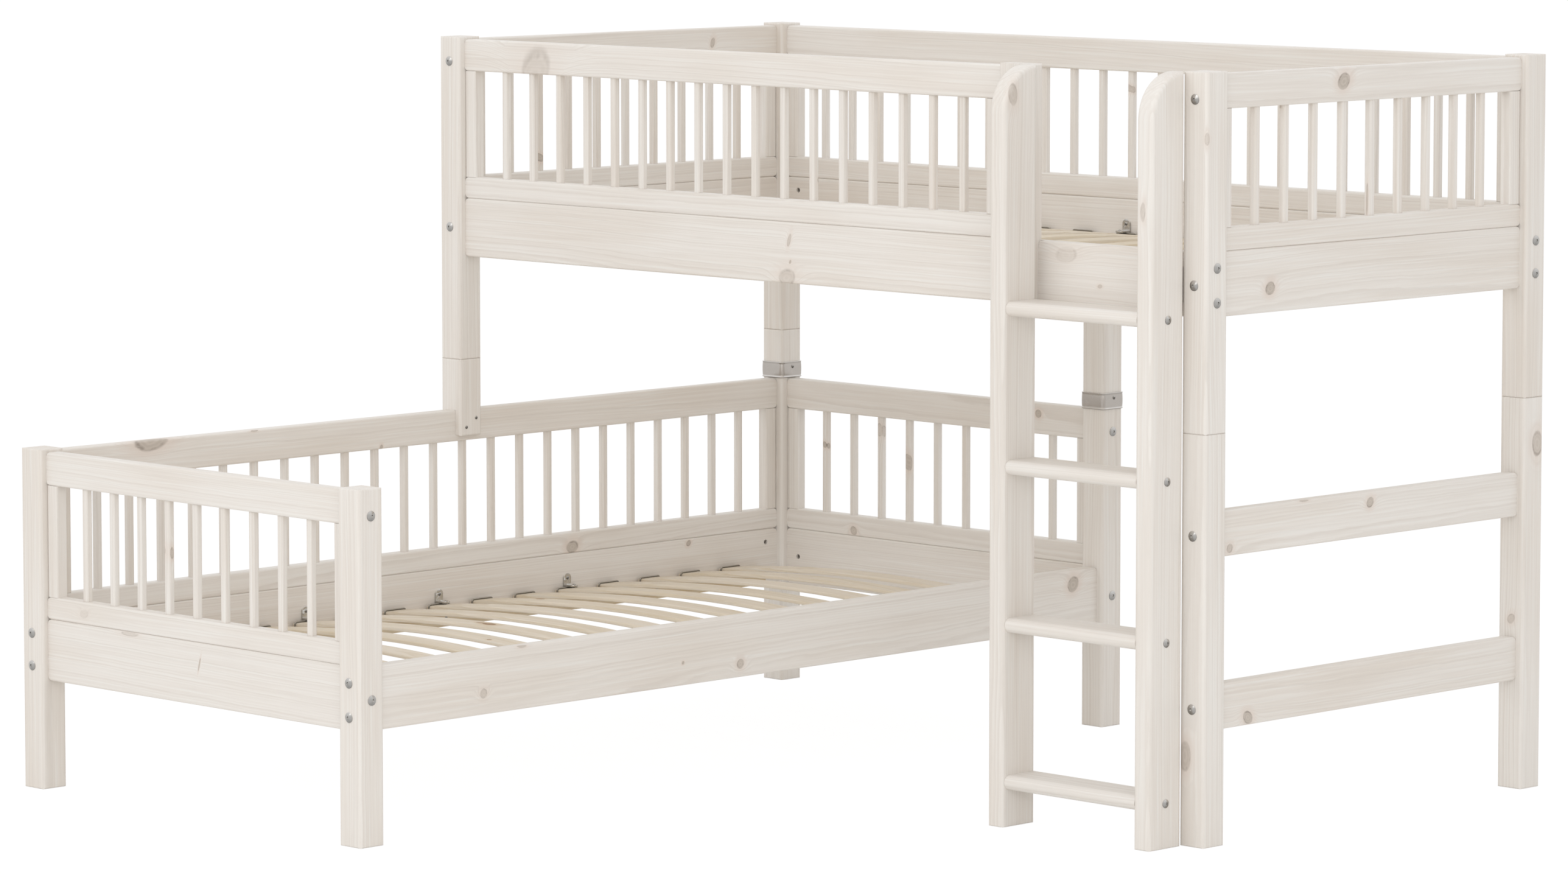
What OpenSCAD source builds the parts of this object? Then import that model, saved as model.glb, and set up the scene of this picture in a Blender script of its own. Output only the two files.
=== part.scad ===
// L shaped bunk bed in whitewashed pine, in millimetres.
// A low bed runs front to back (Y). A high bed of the same frame lies across its back end (X).
// The high bed stands on the low bed's back posts, on a notched riser over the low bed's side guard
// and on two long legs. A ladder with round-topped stiles is bolted to its front.

/* [Mattresses] */
// Width of both mattresses
mattress_w = 900; // [800:10:1000]
// Length of both mattresses
mattress_l = 2000; // [1900:10:2100]
// Clearance on each side of a mattress
mattress_gap = 6; // [3:1:12]

/* [Posts] */
// Width of the square posts
post_w = 60; // [50:1:70]
// Height of a bed frame's posts
post_h = 667; // [640:1:700]
// Rise from the low bed's frame to the high bed's frame
storey_h = 768; // [750:1:900]
// Rounding along the upright edges of the posts
post_edge_r = 7.5; // [3:0.5:12]
// Rounding round the ends of posts and stiles
end_r = 3; // [1:0.5:4]

/* [Boards] */
// Thickness of boards and guard rails
board_t = 28; // [24:1:34]
// Height of the bed boards
board_h = 121; // [110:1:130]
// Height of a board's lower edge above its bed's base
board_z = 213.5; // [200:0.5:225]
// Rounding of a board's corners, seen from its side
corner_r = 10; // [4:1:14]
// Rounding along a board's long edges
edge_r = 4; // [2:0.5:6]
// Height of the cross bars between the long legs
bar_h = 86; // [70:1:110]
// Height of the lower cross bar's middle
bar_low_z = 257; // [200:1:350]
// Height of the upper cross bar's middle
bar_high_z = 579; // [500:1:640]

/* [Guards] */
// Height of a guard's bottom rail
guard_bottom_h = 43.5; // [36:0.5:60]
// Height of a guard's top rail
guard_top_h = 65; // [50:1:80]
// Drop from a post's top to the top rail
guard_drop = 5; // [2:1:12]
// Width of the stiles at the ends of a guard
guard_stile_w = 30; // [24:1:40]
// Set back of those stiles from the rails' faces
guard_stile_inset = 1; // [0.5:0.5:3]
// Width of the square spindles
spindle_w = 15; // [12:1:20]
// Rounding along the spindles' edges
spindle_r = 4.5; // [2:0.5:5]
// Spindle spacing on the long sides
spindle_pitch = 80.5; // [60:0.5:100]
// Spindle spacing on the short ends
end_spindle_pitch = 83; // [60:0.5:100]
// Depth of a spindle's mortise in each rail
mortise_depth = 10; // [6:1:14]
// From a post's face to the first spindle of the front guard
front_spindle_x = 112.8; // [80:0.1:120]

/* [Way in] */
// Clear width between the front guard and the post
entry_w = 374; // [330:1:420]
// Width of the upright plank that ends the front guard
plank_w = 86; // [70:1:100]
// Length of the guard rails' lap behind the plank
guard_lap = 60; // [40:1:64]
// From the guard's last stile to the plank
plank_stile_gap = 20; // [10:1:40]

/* [Ladder] */
// Width of a ladder stile, seen from the front
ladder_stile_w = 40.5; // [32:0.5:50]
// Depth of a ladder stile, seen from the side
ladder_stile_d = 90; // [80:1:110]
// Rounding along the stiles' edges
ladder_edge_r = 9; // [4:0.5:12]
// Radius of the stiles' front top corner
ladder_top_r = 87.5; // [70:0.5:88]
// Clear width between the stiles
rung_l = 327.5; // [300:0.5:360]
// Thickness of a rung
rung_t = 28; // [24:1:34]
// Number of rungs
rung_count = 4; // [3:1:4]
// Height of the first rung's middle
rung_first_z = 85; // [60:1:120]
// Spacing of the rungs
rung_pitch = 298.5; // [270:0.5:320]
// Set back of a rung from the stiles' front
rung_front_inset = 4; // [2:1:8]
// Set back of a rung from the stiles' back
rung_back_inset = 2; // [1:1:6]
// Space between the ladder and the posts' front face
ladder_gap = 4; // [3:0.5:10]
// Lap of the right stile over the post
ladder_lap = 10; // [5:1:14]

/* [Risers and collars] */
// Length of the notched riser's cheeks below the rail's top
saddle_d = 53; // [45:1:60]
// Height of a collar
collar_h = 35; // [25:1:50]
// Depth of the riser's two screws in the rail
saddle_bite = 10; // [6:1:14]
// Offset of those screws along the rail, each way from the middle
saddle_screw_dy = 13.6; // [8:0.1:18]
// Offset of those screws up and down, each way from the middle
saddle_screw_dz = 9; // [5:0.5:14]
// Thickness of a collar
collar_t = 2.7; // [2.5:0.1:5]
// Height of a collar's two rims
collar_rim_h = 3; // [1.5:0.5:5]
// How far a collar's rims stand proud
collar_rim_t = 0.8; // [0.4:0.1:1.5]
// Height of a collar's screw above the collar's foot
collar_screw_up = 24; // [15:0.5:28]
// Gap between a collar and the guard rail under it
collar_clear = 1; // [0.5:0.5:1.5]

/* [Slats] */
// Width of a slat
slat_w = 53; // [45:1:70]
// Thickness of a slat
slat_t = 8; // [6:0.5:12]
// Rounding along a slat's edges
slat_edge_r = 3; // [1:0.5:3]
// Spacing of the slats
slat_pitch = 120.75; // [100:0.25:140]
// How far the row of slats stands off the middle of its bed, away from the corner of the L
slat_shift = 9; // [0:0.5:12]
// Rise of a slat's middle above its ends
slat_crown = 25.5; // [15:0.5:40]
// Gap between a slat's end and the board
slat_gap = 4; // [2:0.5:8]
// Width of the ledgers under the slats' ends
ledger_w = 24; // [20:1:30]
// Height of a ledger
ledger_h = 36; // [28:1:40]
// Height of a ledger's top above the board's lower edge
ledger_rise = 40.5; // [36:0.5:60]
// Distance from a post's face to a ledger's end
ledger_inset = 58; // [50:1:62]

/* [Slat clips and brackets] */
// Diameter of the clips' wire
wire_d = 3.5; // [3:0.5:6]
// Depth of a clip's legs in the ledger
clip_leg = 16; // [10:1:24]
// Thickness of a bracket
bracket_t = 4; // [1.5:0.5:5]
// Width of a bracket
bracket_w = 20; // [18:1:28]
// Height of a bracket's upright leaf
bracket_h = 27; // [22:1:32]
// Length of a bracket's foot
bracket_foot = 31; // [28:1:50]
// Every how many slats, counted from the middle one, a bracket sits
bracket_step = 3; // [2:1:4]

/* [Fasteners] */
// Diameter of the bolts
bolt_d = 6; // [5:0.5:8]
// Diameter of the bed bolts' heads
bolt_head_d = 19.5; // [16:0.5:22]
// Height of a bolt's domed head
bolt_head_h = 3.5; // [2.5:0.5:5]
// Diameter of the ladder bolts' heads
ladder_head_d = 16.5; // [14:0.5:19]
// Width across flats of the hex recesses
hex_w = 5; // [4:0.5:6]
// Distance between the two bolts in a side board's end
side_bolt_pitch = 64; // [50:1:76]
// Height of the guard bolt above the top rail's lower edge
guard_bolt_up = 19.5; // [14:0.5:26]
// Diameter of the barrel nuts
nut_d = 10; // [9:0.5:14]
// Length of the barrel nuts
nut_l = 18; // [14:1:20]
// Distance from a board's end to its barrel nut
nut_inset = 34; // [28:1:45]
// Distance from a top rail's end to the barrel nut let in from below
guard_nut_inset = 37; // [36:1:40]
// Width of the slot in a barrel nut's end
nut_slot_w = 1.5; // [1:0.1:2]
// How far a bolt's tip passes its nut's middle
bolt_tip = 9; // [7:1:14]
// Diameter of the small screws
screw_d = 3.5; // [3:0.5:4]
// Diameter of the small screws' heads
screw_head_d = 7; // [6:0.5:8]
// Height of the small screws' heads
screw_head_h = 2; // [1.5:0.1:3]
// Span of the cross recess in a small screw's head
cross_w = 3.6; // [3:0.1:4]
// Width of the cross recess's arms
cross_t = 0.8; // [0.6:0.1:1.2]
// Depth of the cross recess
cross_d = 0.9; // [0.5:0.1:1.2]
// Length of the small screws
screw_l = 20; // [14:1:22]
// Diameter of the dowels under the guards
dowel_d = 8; // [6:1:10]
// Length of the dowels under the guards
dowel_l = 40; // [30:2:50]
// Spacing of the dowels under the guards
dowel_pitch = 290; // [200:10:320]
// Diameter of the dowels between stacked posts
stack_d = 12; // [10:1:16]
// Length of the dowels between stacked posts
stack_l = 60; // [40:2:70]

/* [Fits] */
// Gap round tenons, dowels and pieces that are let in
fit_gap = 0.2; // [0.1:0.05:0.4]
// Extra width of the holes that bolts pass through
bolt_gap = 1; // [0.5:0.1:1.5]
// Extra depth at the bottom of blind holes
end_gap = 1; // [0.5:0.1:2]
// Wood left under the tips of the brackets' foot screws
slat_skin = 1.5; // [1:0.1:3]

/* [Hidden] */
pine = "#DDD8D1";
pine_shade = "#D3CBC1";
bare_pine = "#D5C4A8";
ledger_pine = "#CDBDA2";
steel = "#B8B8B6";
satin = "#9C9B98";
wire_grey = "#5C5A52";
screw_grey = "#6A6864";
fine = 48;                       // fragments of small rounds
round_fn = 96;                   // fragments of rounds that show
crown_fn = 1080;                 // fragments of a full turn at a slat's radius
over = 1;                        // how far a cut runs past the face it opens

// Bed frame
bed_w = mattress_w + 2 * mattress_gap + board_t;     // between post middles, across the bed
bed_l = mattress_l + 2 * mattress_gap + board_t;     // between post middles, along the bed
half_w = bed_w / 2;
half_l = bed_l / 2;
clear_w = bed_w - post_w;                            // between post faces
clear_l = bed_l - post_w;
low_x = -(bed_l - bed_w) / 2;                        // middle of the low bed
high_y = (bed_l - bed_w) / 2;                        // middle of the high bed
top_z = storey_h + post_h;

// Heights within a bed, above its own base
board_top = board_z + board_h;
board_mid = board_z + board_h / 2;
guard_top = post_h - guard_drop;
top_rail_z = guard_top - guard_top_h;
bottom_rail_top = board_top + guard_bottom_h;
spindle_gap_h = top_rail_z - bottom_rail_top;
side_bolts = [board_mid - side_bolt_pitch / 2, board_mid + side_bolt_pitch / 2];
guard_bolt_z = top_rail_z + guard_bolt_up;
end_bolts = [board_mid, guard_bolt_z];

// Spindles: how many fit on each side of the middle one
stile_space = guard_stile_w + spindle_w;
side_spindles = floor((clear_l / 2 - stile_space) / spindle_pitch);
end_spindles = floor((clear_w / 2 - stile_space) / end_spindle_pitch);

// Front guard and its plank, along the high bed's front side
front_y = high_y - half_w;                           // middle plane of the front board
plank_x1 = clear_l / 2 - entry_w;
plank_x0 = plank_x1 - plank_w;
plank_y0 = front_y - post_w / 2;                     // flush with the posts
plank_y1 = plank_y0 + board_t;
board_front = front_y - board_t / 2;
board_back = front_y + board_t / 2;
housing_y = plank_y1;                                // bottom of the plank's housing in the board
front_stile_x = plank_x0 - plank_stile_gap;          // right face of the guard's last stile
front_rail_end = plank_x0 + guard_lap;
front_first = -clear_l / 2 + front_spindle_x;
front_last = front_stile_x - guard_stile_w - spindle_w * 1.5;
front_spindles = floor((front_last - front_first) / spindle_pitch);

// Ladder
ladder_back = front_y - post_w / 2 - ladder_gap;
ladder_front = ladder_back - ladder_stile_d;
ladder_mid_y = (ladder_front + ladder_back) / 2;
right_stile_x = clear_l / 2 + ladder_lap - ladder_stile_w / 2;
left_stile_x = right_stile_x - rung_l - ladder_stile_w;
rung_y0 = ladder_front + rung_front_inset;
rung_y1 = ladder_back - rung_back_inset;
rung_mid_x = (left_stile_x + right_stile_x) / 2;
left_fix_x = (left_stile_x - ladder_stile_w / 2 + plank_x1) / 2;
right_fix_x = (right_stile_x - ladder_stile_w / 2 + clear_l / 2) / 2;
fix_z = storey_h + board_mid;
top_fix_z = storey_h + top_rail_z + guard_top_h / 2;
fix_pitch = 28;                                      // between the right stile's two bolts
fix_depth = 40;                                      // of a fixing bolt in its stile
washer_d = 20;
block_gap = 4;                                       // between the spacer block and the post

// Slats: the outer face is an arc through the apex and both ends
slat_half = clear_w / 2 + post_w / 2 - board_t / 2 - slat_gap;
slat_r = (slat_half * slat_half + slat_crown * slat_crown) / (2 * slat_crown);
slat_angle = asin(slat_half / slat_r);
ledger_top = board_z + ledger_rise;
arc_z = ledger_top - (slat_r - slat_t) * cos(slat_angle);
slat_space = clear_l / 2 - ledger_inset - slat_w / 2 - wire_d * 2 - slat_shift;
slat_steps = floor(slat_space / slat_pitch);
board_inner = half_w - board_t / 2;
clip_x = board_inner - ledger_w / 2;
clip_half = slat_w / 2 + wire_d / 2 + 2 * fit_gap;
clip_bend_r = clip_half - slat_w / 2 + slat_edge_r;  // bends round the slat's edge
clip_z = arc_z + sqrt(slat_r * slat_r - clip_x * clip_x) + wire_d / 2 + fit_gap;
bracket_z = clip_z + wire_d / 2;
bracket_screw_z = bracket_z + bracket_h - bracket_w / 2;
foot_screw_x = board_inner - bracket_foot + screw_head_d;
foot_gap = bracket_z - arc_z - sqrt(slat_r * slat_r - foot_screw_x * foot_screw_x);
foot_screw_l = bracket_t + foot_gap + slat_t - slat_skin;
ledger_screws = 2;                                   // on each side of a ledger's middle one
ledger_screw_pitch = slat_pitch * 2.5;

// Notched riser over the low bed's left guard
riser_x = low_x - half_w;
saddle_z = guard_top - saddle_d;
cheek_t = (post_w - board_t) / 2;
saddle_screw_l = cheek_t + saddle_bite;
collar_z = guard_top + collar_clear;
saddle_screw_z = saddle_z + saddle_d / 2;

// Dowels under the guards: how many fit on each side of the middle one
side_dowels = floor((clear_l / 2 - post_w) / dowel_pitch);
end_dowels = floor((clear_w / 2 - post_w) / dowel_pitch);

// ---------------------------------------------------------------- shapes

// Rectangle with round corners, its middle at x = 0 and its foot at y = 0
module round_rect(w, h, r) {
    translate([-w / 2 + r, 0]) square([w - 2 * r, h]);
    translate([-w / 2, r]) square([w, h - 2 * r]);
    for (x = [-w / 2 + r, w / 2 - r], y = [r, h - r]) translate([x, y]) circle(r, $fn = fine);
}

// Rectangle with round corners and its middle at the origin
module round_plan(w, d, r) {
    translate([0, -d / 2]) round_rect(w, d, r);
}

// Upright square timber with round edges, standing on z = 0
module timber(w, d, h, r, r_end) {
    intersection() {
        linear_extrude(h) round_plan(w, d, r);
        rotate([90, 0, 0]) linear_extrude(d, center = true) round_rect(w, h, r_end);
        rotate([90, 0, 90]) linear_extrude(w, center = true) round_rect(d, h, r_end);
    }
}

// Board on edge along Y, its middle at the origin and its lower edge at z = 0
module board(l, h, r = corner_r) {
    intersection() {
        rotate([90, 0, 0]) linear_extrude(l, center = true) round_rect(board_t, h, edge_r);
        rotate([90, 0, 90]) linear_extrude(board_t, center = true) round_rect(l, h, r);
    }
}

// Domed bolt or screw head on z = 0
module dome(d, h) {
    rim = h / 4;
    rise = h - rim;
    r = (d * d / 4 + rise * rise) / (2 * rise);
    cylinder(d = d, h = rim, $fn = fine);
    intersection() {
        translate([0, 0, h - r]) sphere(r, $fn = round_fn);
        translate([0, 0, rim]) cylinder(d = d, h = rise, $fn = fine);
    }
}

// Bolt along -Z with its head on z = 0
module bolt(head_d, l) {
    difference() {
        union() {
            dome(head_d, bolt_head_h);
            translate([0, 0, -l]) cylinder(d = bolt_d, h = l + bolt_head_h / 2, $fn = fine);
        }
        translate([0, 0, bolt_head_h / 2]) cylinder(d = hex_w / cos(30), h = bolt_head_h, $fn = 6);
    }
}

module bolt_hole(l) {
    translate([0, 0, -l - end_gap]) cylinder(d = bolt_d + bolt_gap, h = l + end_gap + over, $fn = fine);
}

// Barrel nut across a bolt's line, depth below the head, with its slotted end towards +X
module barrel_nut(depth) {
    translate([0, 0, -depth]) difference() {
        rotate([0, 90, 0]) cylinder(d = nut_d, h = nut_l, center = true, $fn = fine);
        cylinder(d = bolt_d + fit_gap, h = nut_d + 2 * over, center = true, $fn = fine);
        translate([nut_l / 2, 0, 0]) cube([2 * nut_slot_w, nut_d + over, nut_slot_w], center = true);
    }
}

// Blind hole for a barrel nut, open at the face that lies reach away from the bolt's line
module nut_hole(depth, reach = max(board_t, rung_t) / 2) {
    translate([-nut_l / 2 - end_gap / 2, 0, -depth]) rotate([0, 90, 0])
        cylinder(d = nut_d + 2 * fit_gap, h = (nut_l + end_gap) / 2 + reach + over, $fn = fine);
}

// Small screw along -Z, its head on z = 0, with a cross recess
module screw(l) {
    difference() {
        union() {
            dome(screw_head_d, screw_head_h);
            translate([0, 0, -l]) cylinder(d = screw_d, h = l + screw_head_h / 2, $fn = fine);
        }
        for (a = [0, 90]) rotate(a) translate([0, 0, screw_head_h])
            cube([cross_w, cross_t, 2 * cross_d], center = true);
    }
}

module screw_hole(l) {
    translate([0, 0, -l - end_gap]) cylinder(d = screw_d + 2 * fit_gap, h = l + end_gap + over, $fn = fine);
}

// Dowel with its middle at the origin, or its hole
module dowel(d, l, gap = 0) {
    cylinder(d = d + 2 * gap, h = l + (gap > 0 ? end_gap : 0), center = true, $fn = fine);
}

// ---------------------------------------------------------------- placing

// Low bed: its length along Y
module in_low_bed() {
    translate([low_x, 0, 0]) children();
}

// High bed: its length along X, its own +X side at the front
module in_high_bed() {
    translate([0, high_y, storey_h]) rotate(-90) children();
}

// What is drawn for the corner at -X -Y, at the corner on side sx, sy
module at_corner(sx, sy) {
    mirror([sx > 0 ? 1 : 0, 0, 0]) mirror([0, sy > 0 ? 1 : 0, 0]) children();
}

module each_corner() {
    for (sx = [-1, 1], sy = [-1, 1]) at_corner(sx, sy) children();
}

// Bolt lines of the corner at -X -Y: through the post into the side board
module side_bolt_lines() {
    for (z = side_bolts) translate([-half_w, -half_l - post_w / 2, z]) rotate([90, 0, 0]) children();
}

// and into the end board and the end guard
module end_bolt_lines(heights = end_bolts) {
    for (z = heights) translate([-half_w - post_w / 2, -half_l, z]) rotate([-90, 0, 90]) children();
}

// Bolt lines of the cross bars, through the long legs
module bar_bolt_lines() {
    for (z = [bar_low_z, bar_high_z], back = [0, 1])
        translate([half_l, high_y, 0]) mirror([0, back, 0])
            translate([0, -half_w - post_w / 2, z]) rotate([90, 0, 0]) children();
}

// Bolt lines of the rungs, through the ladder stiles
module rung_bolt_lines() {
    for (i = [0 : rung_count - 1], right = [0, 1])
        translate([rung_mid_x, ladder_mid_y, rung_first_z + i * rung_pitch]) mirror([1 - right, 0, 0])
            translate([rung_l / 2 + ladder_stile_w, 0, 0]) rotate([0, 90, 0]) children();
}

// Lines of the bolts that hold the ladder, from behind: left through the front board, left through
// the plank, right through the front board
module fix_line(x, y, z) {
    translate([x, y, z]) rotate([-90, 0, 0]) children();
}

module board_fix_lines() {
    fix_line(left_fix_x, board_back, fix_z) children();
    for (s = [-1, 1]) fix_line(right_fix_x, board_back, fix_z + s * fix_pitch / 2) children();
}

module plank_fix_line() {
    fix_line(left_fix_x, plank_y1, top_fix_z) children();
}

bed_bolt_l = post_w + nut_inset + bolt_tip;
rung_bolt_l = ladder_stile_w + nut_inset + bolt_tip;
board_fix_l = board_back - ladder_back + fix_depth;
plank_fix_l = plank_y1 - ladder_back + fix_depth;

// Middles of a bed's slats, the row moved along it
module each_slat(off) {
    for (i = [-slat_steps : slat_steps]) translate([0, off + i * slat_pitch, 0]) children();
}

module each_bracket_slat() {
    for (i = [-1 : 1]) translate([0, i * round(bracket_step) * slat_pitch, 0]) children();
}

// Both side boards of a bed, drawn for the one at +X
module each_side() {
    for (m = [0, 1]) mirror([m, 0, 0]) children();
}

module bracket_screw_lines() {
    each_bracket_slat() translate([board_inner - bracket_t, 0, bracket_screw_z])
        rotate([0, -90, 0]) children();
}

module foot_screw_lines() {
    each_bracket_slat() translate([foot_screw_x, 0, bracket_z + bracket_t]) children();
}

module ledger_screw_lines() {
    for (i = [-ledger_screws : ledger_screws])
        translate([board_inner - ledger_w, i * ledger_screw_pitch, ledger_top - ledger_h / 2])
            rotate([0, -90, 0]) children();
}

ledger_screw_l = ledger_w + board_t / 2;

module saddle_screw_lines() {
    for (s = [-1, 1])
        translate([riser_x + post_w / 2, front_y + s * saddle_screw_dy, saddle_screw_z + s * saddle_screw_dz])
            rotate([0, 90, 0]) children();
}

// Screws of the two collars, on their +X faces
module collar_screw_lines() {
    for (x = [riser_x, low_x + half_w])
        translate([x + post_w / 2 + collar_t + fit_gap, half_l, collar_z + collar_screw_up])
            rotate([0, 90, 0]) children();
}

// Dowels between the guards and the boards they stand on
module side_dowel_spots() {
    for (i = [-side_dowels : side_dowels]) translate([half_w, i * dowel_pitch, board_top]) children();
}

module end_dowel_spots() {
    for (i = [-end_dowels : end_dowels]) translate([i * dowel_pitch, half_l, board_top]) children();
}

module front_dowel_spots() {
    for (i = [-side_dowels : side_dowels])
        if (i * dowel_pitch < front_stile_x)
            translate([i * dowel_pitch, front_y, storey_h + board_top]) children();
}

// Dowels between stacked posts
module stack_spots() {
    for (x = [riser_x, low_x + half_w]) translate([x, half_l, post_h]) children();
    translate([riser_x, half_l, storey_h]) children();
    translate([riser_x, front_y, storey_h]) children();
    for (y = [front_y, half_l]) translate([half_l, y, storey_h]) children();
}

// The dowel between the middle riser and the high bed's back board
module riser_top_spot() {
    translate([low_x + half_w, half_l, storey_h + board_z]) children();
}

// ---------------------------------------------------------------- posts, legs, risers

// Bed post at the corner -X -Y, with its bolt holes
module bed_post() {
    difference() {
        translate([-half_w, -half_l, 0]) timber(post_w, post_w, post_h, post_edge_r, end_r);
        side_bolt_lines() bolt_hole(post_w);
        end_bolt_lines() bolt_hole(post_w);
    }
}

module low_post(sx, sy) {
    color(pine) difference() {
        in_low_bed() at_corner(sx, sy) bed_post();
        if (sy > 0) stack_spots() dowel(stack_d, stack_l, fit_gap);
    }
}

module high_post(sx, sy) {
    color(pine) difference() {
        in_high_bed() at_corner(sx, sy) bed_post();
        stack_spots() dowel(stack_d, stack_l, fit_gap);
    }
}

// Long leg under one of the high bed's right posts
module leg(y) {
    color(pine) difference() {
        translate([half_l, y, 0]) timber(post_w, post_w, storey_h, post_edge_r, end_r);
        bar_bolt_lines() bolt_hole(post_w);
        stack_spots() dowel(stack_d, stack_l, fit_gap);
    }
}

module cross_bar(z) {
    color(pine) difference() {
        translate([half_l, high_y, z - bar_h / 2]) board(clear_w, bar_h);
        bar_bolt_lines() bolt_hole(bed_bolt_l);
        bar_bolt_lines() mirror([1, 0, 0]) nut_hole(post_w + nut_inset);
    }
}

// Riser on one of the low bed's back posts
module riser(x, top) {
    color(pine) difference() {
        translate([x, half_l, post_h]) timber(post_w, post_w, top - post_h, post_edge_r, end_r);
        stack_spots() dowel(stack_d, stack_l, fit_gap);
        riser_top_spot() dowel(dowel_d, dowel_l, fit_gap);
        collar_screw_lines() screw_hole(screw_l);
    }
}

// Notched riser that sits astride the low bed's left guard rail
module riser_front_left() {
    color(pine) difference() {
        translate([riser_x, front_y, saddle_z])
            timber(post_w, post_w, storey_h - saddle_z, post_edge_r, end_r);
        translate([riser_x - board_t / 2 - fit_gap, front_y - post_w, saddle_z - over])
            cube([board_t + 2 * fit_gap, 2 * post_w, saddle_d + over]);
        stack_spots() dowel(stack_d, stack_l, fit_gap);
        saddle_screw_lines() screw_hole(cheek_t);
    }
}

// Collar round a joint between a post and its riser
module collar() {
    difference() {
        union() {
            linear_extrude(collar_h)
                round_plan(post_w + 2 * collar_t, post_w + 2 * collar_t, post_edge_r + collar_t);
            for (z = [0, collar_h - collar_rim_h]) translate([0, 0, z]) linear_extrude(collar_rim_h)
                round_plan(post_w + 2 * (collar_t + collar_rim_t), post_w + 2 * (collar_t + collar_rim_t),
                    post_edge_r + collar_t + collar_rim_t);
        }
        translate([0, 0, -over]) linear_extrude(collar_h + 2 * over)
            round_plan(post_w + 2 * fit_gap, post_w + 2 * fit_gap, post_edge_r + fit_gap);
    }
}

module joint_collars() {
    color(satin) difference() {
        for (x = [riser_x, low_x + half_w]) translate([x, half_l, collar_z]) collar();
        collar_screw_lines() screw_hole(collar_t);
    }
}

// ---------------------------------------------------------------- boards

// Side board at +X of a bed, with its barrel nut holes and its dowel and screw holes
module side_board() {
    difference() {
        translate([half_w, 0, board_z]) board(clear_l, board_h);
        for (sy = [-1, 1]) at_corner(1, sy) side_bolt_lines() {
            bolt_hole(bed_bolt_l);
            nut_hole(post_w + nut_inset);
        }
        bracket_screw_lines() screw_hole(screw_l);
        ledger_screw_lines() screw_hole(ledger_screw_l);
    }
}

// End board at +Y of a bed
module end_board() {
    difference() {
        translate([0, half_l, board_z]) rotate(90) board(clear_w, board_h);
        for (sx = [-1, 1]) at_corner(sx, 1) end_bolt_lines([board_mid]) {
            bolt_hole(bed_bolt_l);
            nut_hole(post_w + nut_inset);
        }
        end_dowel_spots() dowel(dowel_d, dowel_l, fit_gap);
    }
}

module side_board_with_guard() {
    difference() {
        side_board();
        side_dowel_spots() dowel(dowel_d, dowel_l, fit_gap);
    }
}

module low_side_board_left() {
    color(pine_shade) in_low_bed() mirror([1, 0, 0]) side_board_with_guard();
}

module low_side_board_right() {
    color(pine) in_low_bed() side_board();
}

module high_side_board_back() {
    color(pine_shade) difference() {
        in_high_bed() mirror([1, 0, 0]) side_board_with_guard();
        riser_top_spot() dowel(dowel_d, dowel_l, fit_gap);
    }
}

// The high bed's front board, with the housing for the guard's end plank. The front half of its top
// corner beside the housing is rounded, as its ends are.
module high_side_board_front() {
    color(pine) difference() {
        in_high_bed() side_board();
        translate([plank_x0 - fit_gap, plank_y0, storey_h + board_z - over])
            cube([plank_w + 2 * fit_gap, housing_y - plank_y0, board_h + 2 * over]);
        translate([plank_x1 + fit_gap, housing_y, storey_h + board_top]) rotate([90, 0, 0])
            linear_extrude(housing_y - plank_y0) difference() {
                translate([-over, -corner_r]) square([corner_r + over, corner_r + over]);
                translate([corner_r, -corner_r]) circle(corner_r, $fn = fine);
            }
        front_dowel_spots() dowel(dowel_d, dowel_l, fit_gap);
        board_fix_lines() bolt_hole(board_fix_l);
    }
}

// ---------------------------------------------------------------- guards

module mortise(depth = mortise_depth) {
    linear_extrude(2 * depth, center = true)
        round_plan(spindle_w + 2 * fit_gap, spindle_w + 2 * fit_gap, spindle_r + fit_gap);
}

module spindle() {
    tenon = mortise_depth - end_gap;
    translate([0, 0, -tenon]) linear_extrude(spindle_gap_h + 2 * tenon)
        round_plan(spindle_w, spindle_w, spindle_r);
}

// Places along Y of a guard's spindles, counted both ways from the middle
module each_spindle(steps, pitch) {
    for (i = [-steps : steps]) translate([0, i * pitch, 0]) children();
}

module guard_stile(y) {
    w = board_t - 2 * guard_stile_inset;
    translate([0, y, 0]) linear_extrude(spindle_gap_h) round_plan(w, guard_stile_w, edge_r);
}

// Guard along Y at x = 0, between posts whose faces are l apart, on a board whose top is at z = 0
module guard_top_rail(l, steps, pitch) {
    difference() {
        translate([0, 0, top_rail_z - board_top]) board(l, guard_top_h);
        translate([0, 0, top_rail_z - board_top]) each_spindle(steps, pitch) mortise();
    }
}

module guard_bottom_rail(l, steps, pitch) {
    difference() {
        board(l, guard_bottom_h);
        translate([0, 0, guard_bottom_h]) each_spindle(steps, pitch) mortise();
    }
}

module guard_spindles(l, steps, pitch) {
    translate([0, 0, guard_bottom_h]) {
        each_spindle(steps, pitch) spindle();
        for (s = [-1, 1]) guard_stile(s * (l - guard_stile_w) / 2);
    }
}

// Guard parts on the side at +X of a bed
module side_guard_top_rail() {
    translate([half_w, 0, board_top]) guard_top_rail(clear_l, side_spindles, spindle_pitch);
}

module side_guard_bottom_rail() {
    difference() {
        translate([half_w, 0, board_top]) guard_bottom_rail(clear_l, side_spindles, spindle_pitch);
        side_dowel_spots() dowel(dowel_d, dowel_l, fit_gap);
    }
}

module side_guard_spindles() {
    translate([half_w, 0, board_top]) guard_spindles(clear_l, side_spindles, spindle_pitch);
}

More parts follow.
